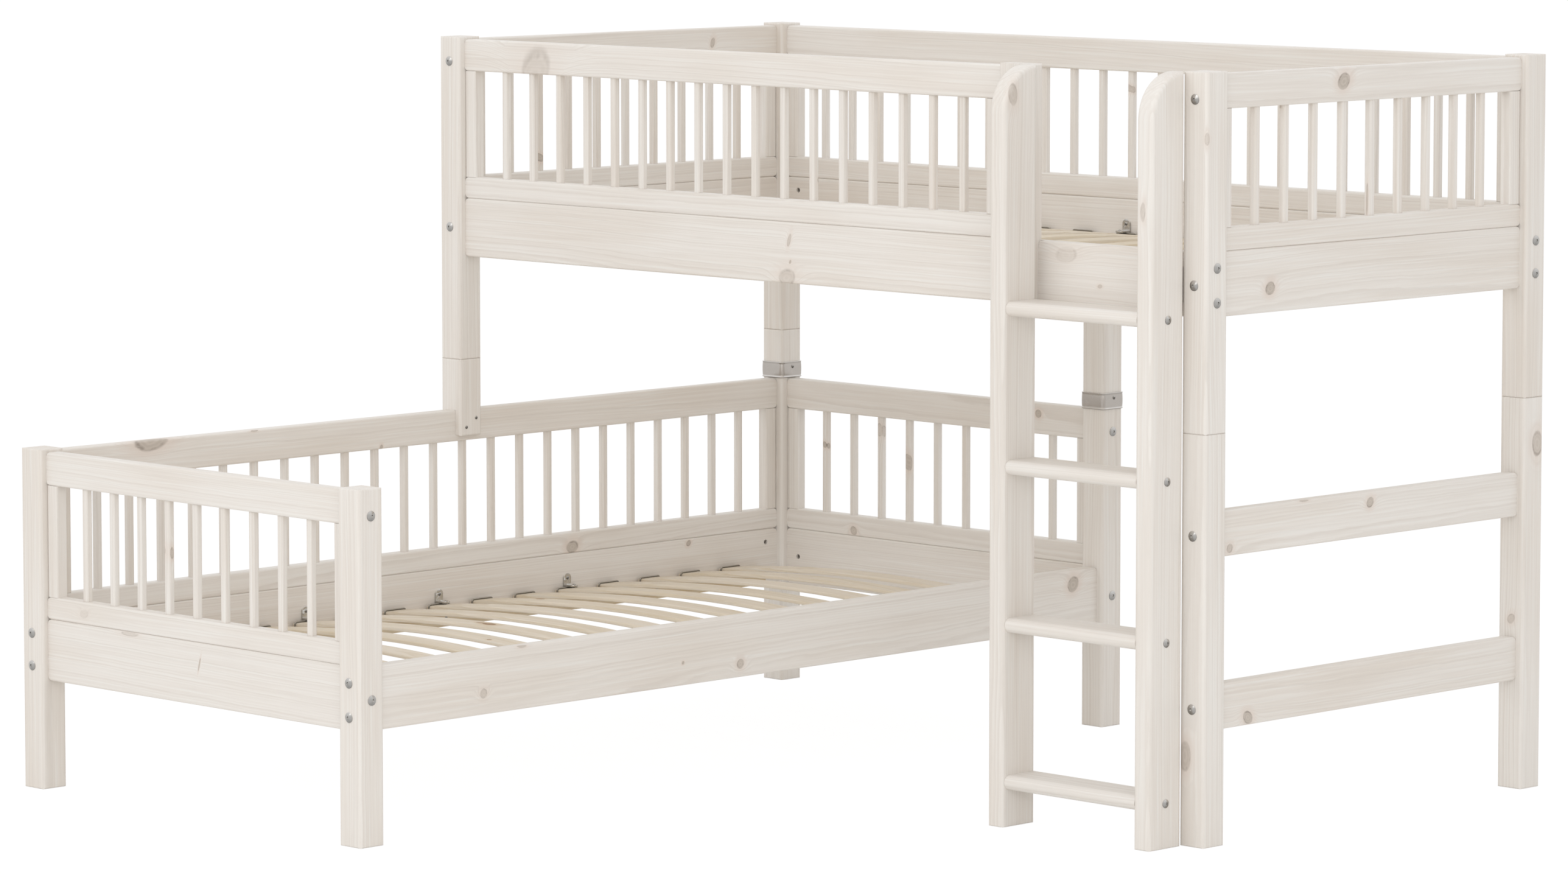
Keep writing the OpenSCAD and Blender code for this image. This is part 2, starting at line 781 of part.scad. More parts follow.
// Guard parts on the end at +Y of a bed
module end_guard_top_rail() {
    difference() {
        translate([0, half_l, board_top]) rotate(90)
            guard_top_rail(clear_w, end_spindles, end_spindle_pitch);
        for (sx = [-1, 1]) at_corner(sx, 1) end_bolt_lines([guard_bolt_z]) {
            bolt_hole(bed_bolt_l);
            rotate(90) nut_hole(post_w + guard_nut_inset, guard_bolt_up);
        }
    }
}

module end_guard_bottom_rail() {
    difference() {
        translate([0, half_l, board_top]) rotate(90)
            guard_bottom_rail(clear_w, end_spindles, end_spindle_pitch);
        end_dowel_spots() dowel(dowel_d, dowel_l, fit_gap);
    }
}

module end_guard_spindles() {
    translate([0, half_l, board_top]) rotate(90)
        guard_spindles(clear_w, end_spindles, end_spindle_pitch);
}

// The low bed's left guard carries the notched riser, screwed through its inner cheek
module low_left_guard_top_rail() {
    color(pine) difference() {
        in_low_bed() mirror([1, 0, 0]) side_guard_top_rail();
        saddle_screw_lines() screw_hole(saddle_screw_l);
    }
}

// ---------------------------------------------------------------- front guard

front_rail_l = front_rail_end + clear_l / 2;

// Rail of the front guard, from the left post to its rebated end behind the plank
module front_rail(z, h) {
    difference() {
        translate([(front_rail_end - clear_l / 2) / 2, front_y, z]) rotate(90) board(front_rail_l, h);
        translate([plank_x0 - fit_gap, plank_y0, z - over])
            cube([plank_w, housing_y - plank_y0, h + 2 * over]);
    }
}

module front_spindle_spots() {
    for (i = [0 : front_spindles]) translate([front_first + i * spindle_pitch, front_y, 0]) children();
}

module high_front_guard_top_rail() {
    z = storey_h + top_rail_z;
    color(pine) difference() {
        front_rail(z, guard_top_h);
        translate([0, 0, z]) front_spindle_spots() mortise();
    }
}

module high_front_guard_bottom_rail() {
    z = storey_h + board_top;
    color(pine) difference() {
        front_rail(z, guard_bottom_h);
        translate([0, 0, z + guard_bottom_h]) front_spindle_spots() mortise();
        front_dowel_spots() dowel(dowel_d, dowel_l, fit_gap);
    }
}

module high_front_guard_spindles() {
    color(pine) translate([0, 0, storey_h + bottom_rail_top]) {
        front_spindle_spots() spindle();
        for (x = [-clear_l / 2 + guard_stile_w / 2, front_stile_x - guard_stile_w / 2])
            translate([x, front_y, 0]) rotate(90) guard_stile(0);
    }
}

// Upright plank that ends the front guard beside the ladder
module guard_end_plank() {
    h = top_z - storey_h - board_z;
    color(pine) difference() {
        translate([(plank_x0 + plank_x1) / 2, (plank_y0 + plank_y1) / 2, storey_h + board_z])
            rotate(90) upright_board(plank_w, plank_y1 - plank_y0, h);
        board_fix_lines() bolt_hole(board_fix_l);
        plank_fix_line() bolt_hole(plank_fix_l);
    }
}

// Upright board of width w along Y and thickness t
module upright_board(w, t, h) {
    intersection() {
        linear_extrude(h) round_plan(t, w, edge_r);
        rotate([90, 0, 90]) linear_extrude(t, center = true) round_rect(w, h, edge_r);
    }
}

// ---------------------------------------------------------------- ladder

// Ladder stile: its front top corner is a quarter round with the same edge rounding
module ladder_stile(x) {
    arc_y = ladder_front + ladder_top_r;
    arc_top = top_z - ladder_top_r;
    color(pine) difference() {
        intersection() {
            translate([x, ladder_mid_y, 0])
                timber(ladder_stile_w, ladder_stile_d, top_z + 2 * end_r, ladder_edge_r, end_r);
            union() {
                translate([x - ladder_stile_w, ladder_front - over, -over])
                    cube([2 * ladder_stile_w, ladder_stile_d + 2 * over, arc_top + over]);
                translate([x, arc_y, arc_top]) rotate([90, 0, -90])
                    rotate_extrude(angle = 90, $fn = round_fn) quarter_section();
                intersection() {
                    translate([x, ladder_mid_y, 0]) rotate([90, 0, 0])
                        linear_extrude(ladder_stile_d, center = true)
                            round_rect(ladder_stile_w, top_z, ladder_edge_r);
                    translate([x - ladder_stile_w, arc_y, arc_top])
                        cube([2 * ladder_stile_w, ladder_stile_d, ladder_top_r]);
                }
            }
        }
        rung_bolt_lines() bolt_hole(ladder_stile_w);
        board_fix_lines() bolt_hole(board_fix_l);
        plank_fix_line() bolt_hole(plank_fix_l);
    }
}

// Half section of the quarter round: from the arc's middle out to its rounded rim
module quarter_section() {
    intersection() {
        translate([0, -ladder_stile_w / 2]) square([ladder_top_r, ladder_stile_w]);
        rotate(-90) translate([0, -ladder_edge_r])
            round_rect(ladder_stile_w, ladder_top_r + ladder_edge_r, ladder_edge_r);
    }
}

// Rung: flat, with a full round front edge
module rung() {
    d = rung_y1 - rung_y0;
    rotate([90, 0, 90]) linear_extrude(rung_l, center = true) {
        translate([rung_y0 + rung_t / 2, 0]) circle(d = rung_t, $fn = round_fn);
        translate([rung_y0 + rung_t / 2, -rung_t / 2]) square([d - rung_t / 2 - edge_r, rung_t]);
        translate([rung_y1 - 2 * edge_r, -rung_t / 2 + edge_r]) square([2 * edge_r, rung_t - 2 * edge_r]);
        for (s = [-1, 1]) translate([rung_y1 - edge_r, s * (rung_t / 2 - edge_r)]) circle(edge_r, $fn = fine);
    }
}

module ladder_rungs() {
    color(pine) difference() {
        for (i = [0 : rung_count - 1]) translate([rung_mid_x, 0, rung_first_z + i * rung_pitch]) rung();
        rung_bolt_lines() {
            bolt_hole(rung_bolt_l);
            nut_hole(ladder_stile_w + nut_inset);
        }
    }
}

// Washers behind the left stile and a block behind the right one
module ladder_spacers() {
    block_w = clear_l / 2 - right_stile_x + ladder_stile_w / 2 - block_gap;
    color(pine_shade) difference() {
        union() {
            for (z = [fix_z, top_fix_z]) translate([left_fix_x, ladder_back, z]) rotate([-90, 0, 0])
                cylinder(d = washer_d, h = ladder_gap, $fn = fine);
            translate([right_fix_x - block_w / 2, ladder_back, fix_z - fix_pitch / 2 - washer_d])
                cube([block_w, board_front - ladder_back, fix_pitch + 2 * washer_d]);
        }
        board_fix_lines() bolt_hole(board_fix_l);
        plank_fix_line() bolt_hole(plank_fix_l);
    }
}

// ---------------------------------------------------------------- slats

// Crowned slat across the bed, bent along an arc
module slat() {
    translate([0, 0, arc_z]) rotate([90, 0, 0]) rotate(90 - slat_angle)
        rotate_extrude(angle = 2 * slat_angle, $fn = crown_fn)
            translate([slat_r - slat_t / 2, 0]) round_plan(slat_t, slat_w, slat_edge_r);
}

module bed_slats(off) {
    difference() {
        each_slat(off) slat();
        each_side() foot_screw_lines() screw_hole(foot_screw_l + 2 * over);
    }
}

module ledger(off) {
    l = clear_l - 2 * ledger_inset;
    difference() {
        translate([board_inner - ledger_w, -l / 2, ledger_top - ledger_h]) cube([ledger_w, l, ledger_h]);
        each_slat(off) for (s = [-1, 1]) translate([clip_x, s * clip_half, ledger_top - clip_leg - end_gap])
            cylinder(d = wire_d + 2 * fit_gap, h = clip_leg + end_gap + over, $fn = fine);
        ledger_screw_lines() screw_hole(ledger_screw_l);
    }
}

module slat_ledgers() {
    color(ledger_pine) {
        in_low_bed() each_side() ledger(-slat_shift);
        in_high_bed() each_side() ledger(slat_shift);
    }
}

// Staple of round wire over a slat's end, its legs in the ledger
module slat_clip() {
    bar = clip_half - clip_bend_r;
    leg = clip_z - clip_bend_r - ledger_top + clip_leg;
    translate([clip_x, 0, clip_z]) {
        rotate([90, 0, 0]) cylinder(d = wire_d, h = 2 * bar, center = true, $fn = fine);
        for (m = [0, 1]) mirror([0, m, 0]) {
            translate([0, bar, -clip_bend_r]) rotate([90, 0, 90])
                rotate_extrude(angle = 90, $fn = fine)
                    translate([clip_bend_r, 0]) circle(d = wire_d, $fn = fine);
            translate([0, clip_half, -clip_bend_r]) mirror([0, 0, 1])
                cylinder(d = wire_d, h = leg, $fn = fine);
        }
    }
}

module slat_clips() {
    color(wire_grey) {
        in_low_bed() each_side() each_slat(-slat_shift) slat_clip();
        in_high_bed() each_side() each_slat(slat_shift) slat_clip();
    }
}

// L bracket from the board's face over the clip onto the slat, with round ends
module slat_bracket() {
    r = bracket_w / 2;
    difference() {
        union() {
            translate([board_inner, 0, bracket_z]) rotate([0, -90, 0]) linear_extrude(bracket_t) {
                translate([0, -r]) square([bracket_h - r, bracket_w]);
                translate([bracket_h - r, 0]) circle(r, $fn = fine);
            }
            translate([board_inner, 0, bracket_z]) mirror([1, 0, 0]) linear_extrude(bracket_t) {
                translate([0, -r]) square([bracket_foot - r, bracket_w]);
                translate([bracket_foot - r, 0]) circle(r, $fn = fine);
            }
        }
        translate([board_inner - bracket_t, 0, bracket_screw_z]) rotate([0, -90, 0]) screw_hole(bracket_t);
        translate([foot_screw_x, 0, bracket_z + bracket_t]) screw_hole(bracket_t);
    }
}

module slat_brackets() {
    color(steel) {
        in_low_bed() each_side() each_bracket_slat() slat_bracket();
        in_high_bed() each_side() each_bracket_slat() slat_bracket();
    }
}

// ---------------------------------------------------------------- fasteners

module corner_bolt_lines(heights = end_bolts) {
    each_corner() {
        side_bolt_lines() children();
        end_bolt_lines(heights) children();
    }
}

// Barrel nuts of a bed: across the boards, and upright in the guards' top rails
module corner_nuts() {
    corner_bolt_lines([board_mid]) barrel_nut(post_w + nut_inset);
    each_corner() end_bolt_lines([guard_bolt_z]) rotate(90) barrel_nut(post_w + guard_nut_inset);
}

module bed_bolts() {
    color(steel) {
        in_low_bed() corner_bolt_lines() bolt(bolt_head_d, bed_bolt_l);
        in_high_bed() corner_bolt_lines() bolt(bolt_head_d, bed_bolt_l);
        bar_bolt_lines() bolt(bolt_head_d, bed_bolt_l);
    }
}

module barrel_nuts() {
    color(satin) {
        in_low_bed() corner_nuts();
        in_high_bed() corner_nuts();
        bar_bolt_lines() mirror([1, 0, 0]) barrel_nut(post_w + nut_inset);
        rung_bolt_lines() barrel_nut(ladder_stile_w + nut_inset);
    }
}

module ladder_bolts() {
    color(steel) {
        rung_bolt_lines() bolt(ladder_head_d, rung_bolt_l);
        board_fix_lines() bolt(ladder_head_d, board_fix_l);
        plank_fix_line() bolt(ladder_head_d, plank_fix_l);
    }
}

module bed_screws() {
    each_side() {
        bracket_screw_lines() screw(screw_l);
        foot_screw_lines() screw(foot_screw_l);
        ledger_screw_lines() screw(ledger_screw_l);
    }
}

module small_screws() {
    color(screw_grey) {
        in_low_bed() bed_screws();
        in_high_bed() bed_screws();
        saddle_screw_lines() screw(saddle_screw_l);
        collar_screw_lines() screw(screw_l);
    }
}

module joint_dowels() {
    color(bare_pine) {
        stack_spots() dowel(stack_d, stack_l);
        riser_top_spot() dowel(dowel_d, dowel_l);
        in_low_bed() mirror([1, 0, 0]) side_dowel_spots() dowel(dowel_d, dowel_l);
        in_high_bed() mirror([1, 0, 0]) side_dowel_spots() dowel(dowel_d, dowel_l);
        front_dowel_spots() dowel(dowel_d, dowel_l);
        for (m = [0, 1]) {
            in_low_bed() mirror([0, m, 0]) end_dowel_spots() dowel(dowel_d, dowel_l);
            in_high_bed() mirror([0, m, 0]) end_dowel_spots() dowel(dowel_d, dowel_l);
        }
    }
}

// ---------------------------------------------------------------- nodes

low_post(-1, -1);  // low_post_front_left
low_post(1, -1);  // low_post_front_right
low_post(-1, 1);  // low_post_back_left
low_post(1, 1);  // low_post_back_right
high_post(1, -1);  // high_post_front_left
high_post(1, 1);  // high_post_front_right
high_post(-1, -1);  // high_post_back_left
high_post(-1, 1);  // high_post_back_right
leg(front_y);  // leg_front_right
leg(half_l);  // leg_back_right
cross_bar(bar_low_z);  // cross_bar_lower
cross_bar(bar_high_z);  // cross_bar_upper
riser_front_left();
riser(riser_x, storey_h);  // riser_back_left
riser(low_x + half_w, storey_h + board_z);  // riser_back_middle
joint_collars();
low_side_board_left();
low_side_board_right();
color(pine) in_low_bed() mirror([0, 1, 0]) end_board();  // low_end_board_front
color(pine) in_low_bed() end_board();  // low_end_board_back
high_side_board_front();
high_side_board_back();
color(pine) in_high_bed() mirror([0, 1, 0]) end_board();  // high_end_board_left
color(pine) in_high_bed() end_board();  // high_end_board_right
low_left_guard_top_rail();
color(pine) in_low_bed() mirror([1, 0, 0]) side_guard_bottom_rail();  // low_left_guard_bottom_rail
color(pine) in_low_bed() mirror([1, 0, 0]) side_guard_spindles();  // low_left_guard_spindles
color(pine) in_low_bed() mirror([0, 1, 0]) end_guard_top_rail();  // low_front_guard_top_rail
color(pine) in_low_bed() mirror([0, 1, 0]) end_guard_bottom_rail();  // low_front_guard_bottom_rail
color(pine) in_low_bed() mirror([0, 1, 0]) end_guard_spindles();  // low_front_guard_spindles
color(pine) in_low_bed() end_guard_top_rail();  // low_back_guard_top_rail
color(pine) in_low_bed() end_guard_bottom_rail();  // low_back_guard_bottom_rail
color(pine) in_low_bed() end_guard_spindles();  // low_back_guard_spindles
color(pine) in_high_bed() mirror([1, 0, 0]) side_guard_top_rail();  // high_back_guard_top_rail
color(pine) in_high_bed() mirror([1, 0, 0]) side_guard_bottom_rail();  // high_back_guard_bottom_rail
color(pine) in_high_bed() mirror([1, 0, 0]) side_guard_spindles();  // high_back_guard_spindles
color(pine) in_high_bed() mirror([0, 1, 0]) end_guard_top_rail();  // high_left_guard_top_rail
color(pine) in_high_bed() mirror([0, 1, 0]) end_guard_bottom_rail();  // high_left_guard_bottom_rail
color(pine) in_high_bed() mirror([0, 1, 0]) end_guard_spindles();  // high_left_guard_spindles
color(pine) in_high_bed() end_guard_top_rail();  // high_right_guard_top_rail
color(pine) in_high_bed() end_guard_bottom_rail();  // high_right_guard_bottom_rail
color(pine) in_high_bed() end_guard_spindles();  // high_right_guard_spindles
high_front_guard_top_rail();
high_front_guard_bottom_rail();
high_front_guard_spindles();
guard_end_plank();
ladder_stile(left_stile_x);  // ladder_stile_left
ladder_stile(right_stile_x);  // ladder_stile_right
ladder_rungs();
ladder_spacers();
color(bare_pine) in_low_bed() bed_slats(-slat_shift);  // low_slats
color(bare_pine) in_high_bed() bed_slats(slat_shift);  // high_slats
slat_ledgers();
slat_clips();
slat_brackets();
bed_bolts();
barrel_nuts();
ladder_bolts();
small_screws();
joint_dowels();
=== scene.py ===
"""Looks of the l shaped bunk bed: whitewashed pine, bare pine slats, steel fittings and a pale studio.

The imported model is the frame. Every wooden piece keeps its shape and gets solid grain, cut from a log
whose pith lies beside it, so that the lines of one face run on round its edges into the next.
"""

import logging
import math
import random
from dataclasses import dataclass, field
from enum import Enum
from typing import Sequence, Union

import bmesh
import bpy
from mathutils import Matrix, Vector


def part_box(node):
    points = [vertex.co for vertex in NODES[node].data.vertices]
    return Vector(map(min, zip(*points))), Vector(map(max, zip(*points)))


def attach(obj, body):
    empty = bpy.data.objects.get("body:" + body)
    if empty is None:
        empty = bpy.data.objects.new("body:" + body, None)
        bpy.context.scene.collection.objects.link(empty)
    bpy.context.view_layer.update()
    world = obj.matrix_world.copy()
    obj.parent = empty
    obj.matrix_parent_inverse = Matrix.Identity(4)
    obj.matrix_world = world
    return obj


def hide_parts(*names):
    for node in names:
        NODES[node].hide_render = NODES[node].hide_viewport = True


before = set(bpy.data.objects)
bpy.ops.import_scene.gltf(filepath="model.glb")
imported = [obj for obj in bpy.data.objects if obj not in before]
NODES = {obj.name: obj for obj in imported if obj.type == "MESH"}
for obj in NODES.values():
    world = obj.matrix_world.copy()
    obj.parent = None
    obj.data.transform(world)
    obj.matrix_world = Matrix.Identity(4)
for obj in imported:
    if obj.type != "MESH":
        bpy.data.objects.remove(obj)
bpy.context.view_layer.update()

log = logging.getLogger("bunk_bed")

MM = 0.001                       # metres in a millimetre
BODY = "root"                    # nothing on the bed moves

SMOOTH = {"interpolation_type": "SMOOTHSTEP"}

Socket = bpy.types.NodeSocket
Value = Union[Socket, float, Sequence[float], None]


# ---------------- small helpers

def linear(colour: str) -> tuple[float, float, float, float]:
    """Turns an sRGB hex colour into linear light.

    Args:
        colour: Six hex digits with a leading hash sign.

    Returns:
        Red, green, blue and alpha, linear.
    """
    parts = [int(colour[i:i + 2], 16) / 255 for i in (1, 3, 5)]
    light = [c / 12.92 if c <= 0.04045 else ((c + 0.055) / 1.055) ** 2.4 for c in parts]
    return (*light, 1.0)


@dataclass(frozen=True)
class Nodes:
    """Adds nodes to one tree."""

    tree: bpy.types.NodeTree

    def __call__(self, kind: str, ins: Union[Sequence[Value], dict[str, Value]] = (),
                 out: Union[str, None] = None, **settings: object) -> Union[Socket, None]:
        """Adds a node with its settings and links.

        Args:
            kind: Its type without the ShaderNode prefix, or in full for the ends of a group, and its
                operation after a space. An operation alone, in capitals, is one of the Math node.
            ins: Values or sockets for its inputs, in their order or by name. None leaves one alone.
            out: The name of the output to return; its first one where none is given.
            settings: The node's own properties.

        Returns:
            The output socket, or None from a node that has no output.
        """
        kind, _, operation = (f"Math {kind}" if kind.isupper() else kind).partition(" ")
        node = self.tree.nodes.new(kind if kind.startswith("Node") else "ShaderNode" + kind)
        if operation:
            node.operation = operation
        for name, value in settings.items():
            setattr(node, name, value)
        open_inputs = [s for s in node.inputs if s.enabled]
        if isinstance(ins, dict):
            pairs = [(next(s for s in open_inputs if s.name == name), ins[name]) for name in ins]
        else:
            pairs = list(zip(open_inputs, ins))
        for socket, value in pairs:
            if isinstance(value, Socket):
                self.tree.links.new(value, socket)
            elif value is not None:
                socket.default_value = value
        outputs = [s for s in node.outputs if s.enabled]
        return next(s for s in outputs if out in (None, s.name)) if outputs else None


def fresh_nodes(owner: Union[bpy.types.Material, bpy.types.World]) -> Nodes:
    """Clears the nodes of a material or of the surroundings.

    Args:
        owner: The material or the surroundings.

    Returns:
        What adds nodes to it.
    """
    owner.use_nodes = True
    owner.node_tree.nodes.clear()
    return Nodes(owner.node_tree)


def put(name: str, data: bpy.types.ID) -> bpy.types.Object:
    """Makes an object and puts it in the scene.

    Args:
        name: Its name.
        data: Its mesh, lamp or camera.

    Returns:
        The object.
    """
    thing = bpy.data.objects.new(name, data)
    bpy.context.scene.collection.objects.link(thing)
    return thing


def new_group(name: str, inputs: str, outputs: str, vectors: str = "") -> tuple[Nodes, list[Socket]]:
    """Makes an empty node group with its sockets.

    Args:
        name: The group's name.
        inputs: Names of its inputs, with spaces between them.
        outputs: Names of its outputs, likewise.
        vectors: Those of both that are vectors, where the others are numbers.

    Returns:
        What adds nodes to the group, and its inputs as those nodes see them.
    """
    tree = bpy.data.node_groups.new(name, "ShaderNodeTree")
    for sockets, way in ((inputs, "INPUT"), (outputs, "OUTPUT")):
        for socket in sockets.split():
            kind = "NodeSocketVector" if socket in vectors.split() else "NodeSocketFloat"
            tree.interface.new_socket(socket, in_out=way, socket_type=kind)
    given = tree.nodes.new("NodeGroupInput").outputs
    return Nodes(tree), list(given)[:len(inputs.split())]


class Axis(Enum):
    """An axis of the part's frame."""

    X = 0
    Y = 1
    Z = 2


# ---------------- grain

@dataclass(frozen=True)
class Knot:
    """A branch cut through by a timber's face.

    Args:
        at: Where its middle lies on the surface, in the part's frame, in mm.
        size: Its radius across the grain, in mm.
        long: How many times longer it is along the grain.
        strength: 1 for a dark knot, less for one that the wash hides.
    """

    at: tuple[float, float, float]
    size: float
    long: float = 1.0
    strength: float = 1.0


@dataclass(frozen=True)
class Face:
    """A flat side that timbers show in the photograph.

    Args:
        across: The axis that it stands square to.
        level: Its place on that axis, in mm.
    """

    across: Axis
    level: float

    def knots(self, *marks: tuple[float, ...]) -> tuple[Knot, ...]:
        """Knots on this face.

        Args:
            marks: The other two coordinates of each, in mm, then its size, length and strength.

        Returns:
            The knots.
        """
        found = []
        for first, second, *looks in marks:
            at = [first, second]
            at.insert(self.across.value, self.level)
            found.append(Knot(tuple(at), *looks))
        return tuple(found)


@dataclass(frozen=True)
class Repeat:
    """Copies of a piece in one node, each cut from another place in the log.

    Args:
        axis: The axis that they follow one another along.
        pitch: Their spacing in mm.
        start: The place of one of them in mm.
    """

    axis: Axis
    pitch: float
    start: float = 0.0


@dataclass
class PineGrain:
    """Year rings, knots and fibres of sawn Scots pine, as node groups that every timber shares.

    Lengths are in mm. The rings are cylinders round the pith, so that a face cut beside it shows
    arches, a face cut towards it shows straight lines, and an end shows arcs.
    """

    # how far a ring strays, and the length and width of the bends in which it does so
    bow: tuple[float, float, float] = (7.0, 640.0, 190.0)
    waver: tuple[float, float, float] = (1.7, 110.0, 36.0)
    tremble: tuple[float, float, float] = (0.45, 26.0, 5.0)
    knot_spacing: float = 330.0      # between the whorls of branches
    knot_width: float = 62.0
    knot_least: float = 2.0
    knot_most: float = 9.0
    knot_radius: float = 90.0        # from the pith to the face that a scattered knot is sized for
    branch_lean: float = 0.3         # a branch leans towards the treetop
    most_push: float = 15.0          # how far a branch bends the rings round it
    swell: tuple[float, ...] = (0.5, 0.72, 0.0)    # how fast that fades along and across, by its radius
    uneven: float = 0.7              # how far a knot's outline strays, as a share of its radius
    knot_rings: float = 13.0         # radians of its own rings from a knot's middle to its rim
    year_change: float = 0.38        # how fast good and bad years follow one another, by the year
    year_reach: float = 1.6          # how many rings wider or narrower they make a few years
    faint_year: float = 0.2          # how much of its line the faintest year shows
    harsh_year: float = 1.05         # and the darkest one
    # length and width of fibres, streaks and patches; real fibres are 0.03 mm wide, and are drawn as
    # wide as a streak of wash
    fibre: tuple[float, float] = (55.0, 1.2)
    streak: tuple[float, float] = (260.0, 5.0)
    patch: tuple[float, float] = (420.0, 85.0)
    seed_stride: float = 37.0        # along the log from one seed's pattern to the next one's
    groups: dict[str, bpy.types.NodeTree] = field(default_factory=dict)

    def build(self) -> None:
        """Makes the node groups in the order that they need one another."""
        self.groups["log"] = self.log_place()
        self.groups["knot"] = self.one_knot()
        self.groups["whorls"] = self.scattered_knots()
        self.groups["rings"] = self.year_rings()

    def use(self, add: Nodes, name: str, ins: Sequence[Value]) -> bpy.types.NodeOutputs:
        """Puts one of the groups into a tree.

        Args:
            add: Adds nodes to the tree.
            name: The group's name.
            ins: Values or sockets for its inputs.

        Returns:
            Its outputs.
        """
        return add("Group", ins, node_tree=self.groups[name]).node.outputs

    def log_place(self) -> bpy.types.NodeTree:
        """Group that turns a place in the timber into its place in the log.

        Returns:
            The group: along the trunk, angle round the pith from the timber's middle, and distance
            from the pith.
        """
        add, given = new_group("log_place", "Place Pith Slope", "Along Angle Radius", "Place Pith Slope")
        place, pith, slope = given
        along = add("SeparateXYZ", [place], out="X")
        lean = add("VectorMath SCALE", {"Vector": slope, "Scale": along})
        from_pith = add("VectorMath SUBTRACT", [place, pith])
        from_pith = add("VectorMath SUBTRACT", [from_pith, lean])
        flat = add("VectorMath MULTIPLY", [from_pith, (0, 1, 1)])
        radius = add("VectorMath LENGTH", [flat], out="Value")
        inward = add("VectorMath SCALE", {"Vector": pith, "Scale": -1.0})
        inward = add("VectorMath NORMALIZE", [inward])
        beside = add("VectorMath CROSS_PRODUCT", [(1, 0, 0), inward])
        towards = add("VectorMath DOT_PRODUCT", [flat, inward], out="Value")
        sideways = add("VectorMath DOT_PRODUCT", [flat, beside], out="Value")
        angle = add("ARCTAN2", [sideways, towards])
        add("NodeGroupOutput", [along, angle, radius])
        return add.tree

    def one_knot(self) -> bpy.types.NodeTree:
        """Group for one branch that grows out from the pith and widens on its way.

        Returns:
            The group: how far it pushes the rings out, in mm, and how much of its face, its rim and
            the halo round it shows, each from 0 to 1.
        """
        add, given = new_group("one_knot", "Along Angle Radius At Size Long Squeeze Strength",
                               "Push Marks", "At Marks")
        along, angle, radius, at, size, long, squeeze, strength = given
        centre = add("SeparateXYZ", [at]).node.outputs
        past = add("SUBTRACT", [radius, centre["Z"]])
        off_along = add("SUBTRACT", [along, centre["X"]])
        off_along = add("MULTIPLY_ADD", [past, -self.branch_lean, off_along])
        off_angle = add("SUBTRACT", [angle, centre["Y"]])
        off_angle = add("WRAP", [off_angle, math.pi, -math.pi])
        off_across = add("MULTIPLY", [off_angle, radius])
        off_across = add("MULTIPLY", [off_across, squeeze])
        taper = add("DIVIDE", [radius, centre["Z"]])
        taper = add("MapRange", [taper, 0.0, 2.0, 0.45, 1.55])
        width = add("MULTIPLY", [size, taper])
        width = add("MAXIMUM", [width, 0.01])
        length = add("MULTIPLY", [width, long])
        off_along = add("DIVIDE", [off_along, length])
        off_across = add("DIVIDE", [off_across, width])
        place = add("CombineXYZ", [off_along, off_across, 0.0])
        shifted = add("VectorMath ADD", [place, at])
        ragged = add("TexNoise", {"Vector": shifted, "Scale": 0.95, "Detail": 3.0,
                                        "Roughness": 0.6})
        off_round = add("SUBTRACT", [ragged, 0.5])
        away = add("VectorMath LENGTH", [place], out="Value")
        near = add("MULTIPLY_ADD", [off_round, self.uneven, away])
        face = add("MapRange", [near, 1.1, 0.84, 0.0, 1.0], **SMOOTH)
        turns = add("MULTIPLY", [near, self.knot_rings])
        turns = add("SINE", [turns])
        turns = add("MapRange", [turns, -1.0, 1.0, 0.72, 1.0])
        face = add("MULTIPLY", [face, turns])
        rise = add("MapRange", [near, 0.72, 0.97, 0.0, 1.0], **SMOOTH)
        fall = add("MapRange", [near, 0.99, 1.2, 1.0, 0.0], **SMOOTH)
        broken = add("MapRange", [ragged, 0.4, 0.62, 0.12, 1.0])
        rim = add("MULTIPLY", [rise, fall])
        rim = add("MULTIPLY", [rim, broken])
        halo = add("MapRange", [near, 2.6, 0.9, 0.0, 1.0], **SMOOTH)
        marks = add("CombineXYZ", [face, rim, halo])
        marks = add("VectorMath SCALE", {"Vector": marks, "Scale": strength})
        swell = add("VectorMath MULTIPLY", [place, self.swell])
        swell = add("VectorMath DOT_PRODUCT", [swell, swell], out="Value")
        swell = add("MULTIPLY", [swell, -1.0])
        swell = add("EXPONENT", [swell])
        push = add("MULTIPLY", [swell, width])
        push = add("MULTIPLY", [push, 1.15])
        push = add("MINIMUM", [push, self.most_push])
        add("NodeGroupOutput", [push, marks])
        return add.tree

    def scattered_knots(self) -> bpy.types.NodeTree:
        """Group for knots scattered along the log, in loose whorls.

        Returns:
            The group, with the outputs of one knot.
        """
        add, given = new_group("scattered_knots", "Along Angle Radius Seed Share", "Push Marks", "Marks")
        along, angle, radius, seed, share = given
        spread = self.knot_width / self.knot_radius
        shelf = add("MULTIPLY_ADD", [along, 1 / self.knot_spacing, seed])
        turn = add("MULTIPLY_ADD", [angle, 1 / spread, seed])
        spot = add("CombineXYZ", [shelf, turn, 0.0])
        cell = {"Vector": spot, "Scale": 1.0, "Randomness": 0.9}
        centre = add("TexVoronoi", cell, out="Position", voronoi_dimensions="2D")
        chance = centre.node.outputs["Color"]
        chance = add("SeparateColor", [chance], out="Red")
        drift = add("CombineXYZ", [seed, seed, -1.0])
        centre = add("VectorMath SUBTRACT", [centre, drift])
        reach = (self.knot_spacing, spread, self.knot_radius)
        centre = add("VectorMath MULTIPLY", [centre, reach])
        absent = add("SUBTRACT", [1.0, share])
        size = add("MapRange", [chance, absent, 1.0, self.knot_least, self.knot_most])
        there = add("GREATER_THAN", [chance, absent])
        size = add("MULTIPLY", [size, there])
        knot = self.use(add, "knot", [along, angle, radius, centre, size, 1.2, 1.0, 0.75])
        add("NodeGroupOutput", list(knot))
        return add.tree

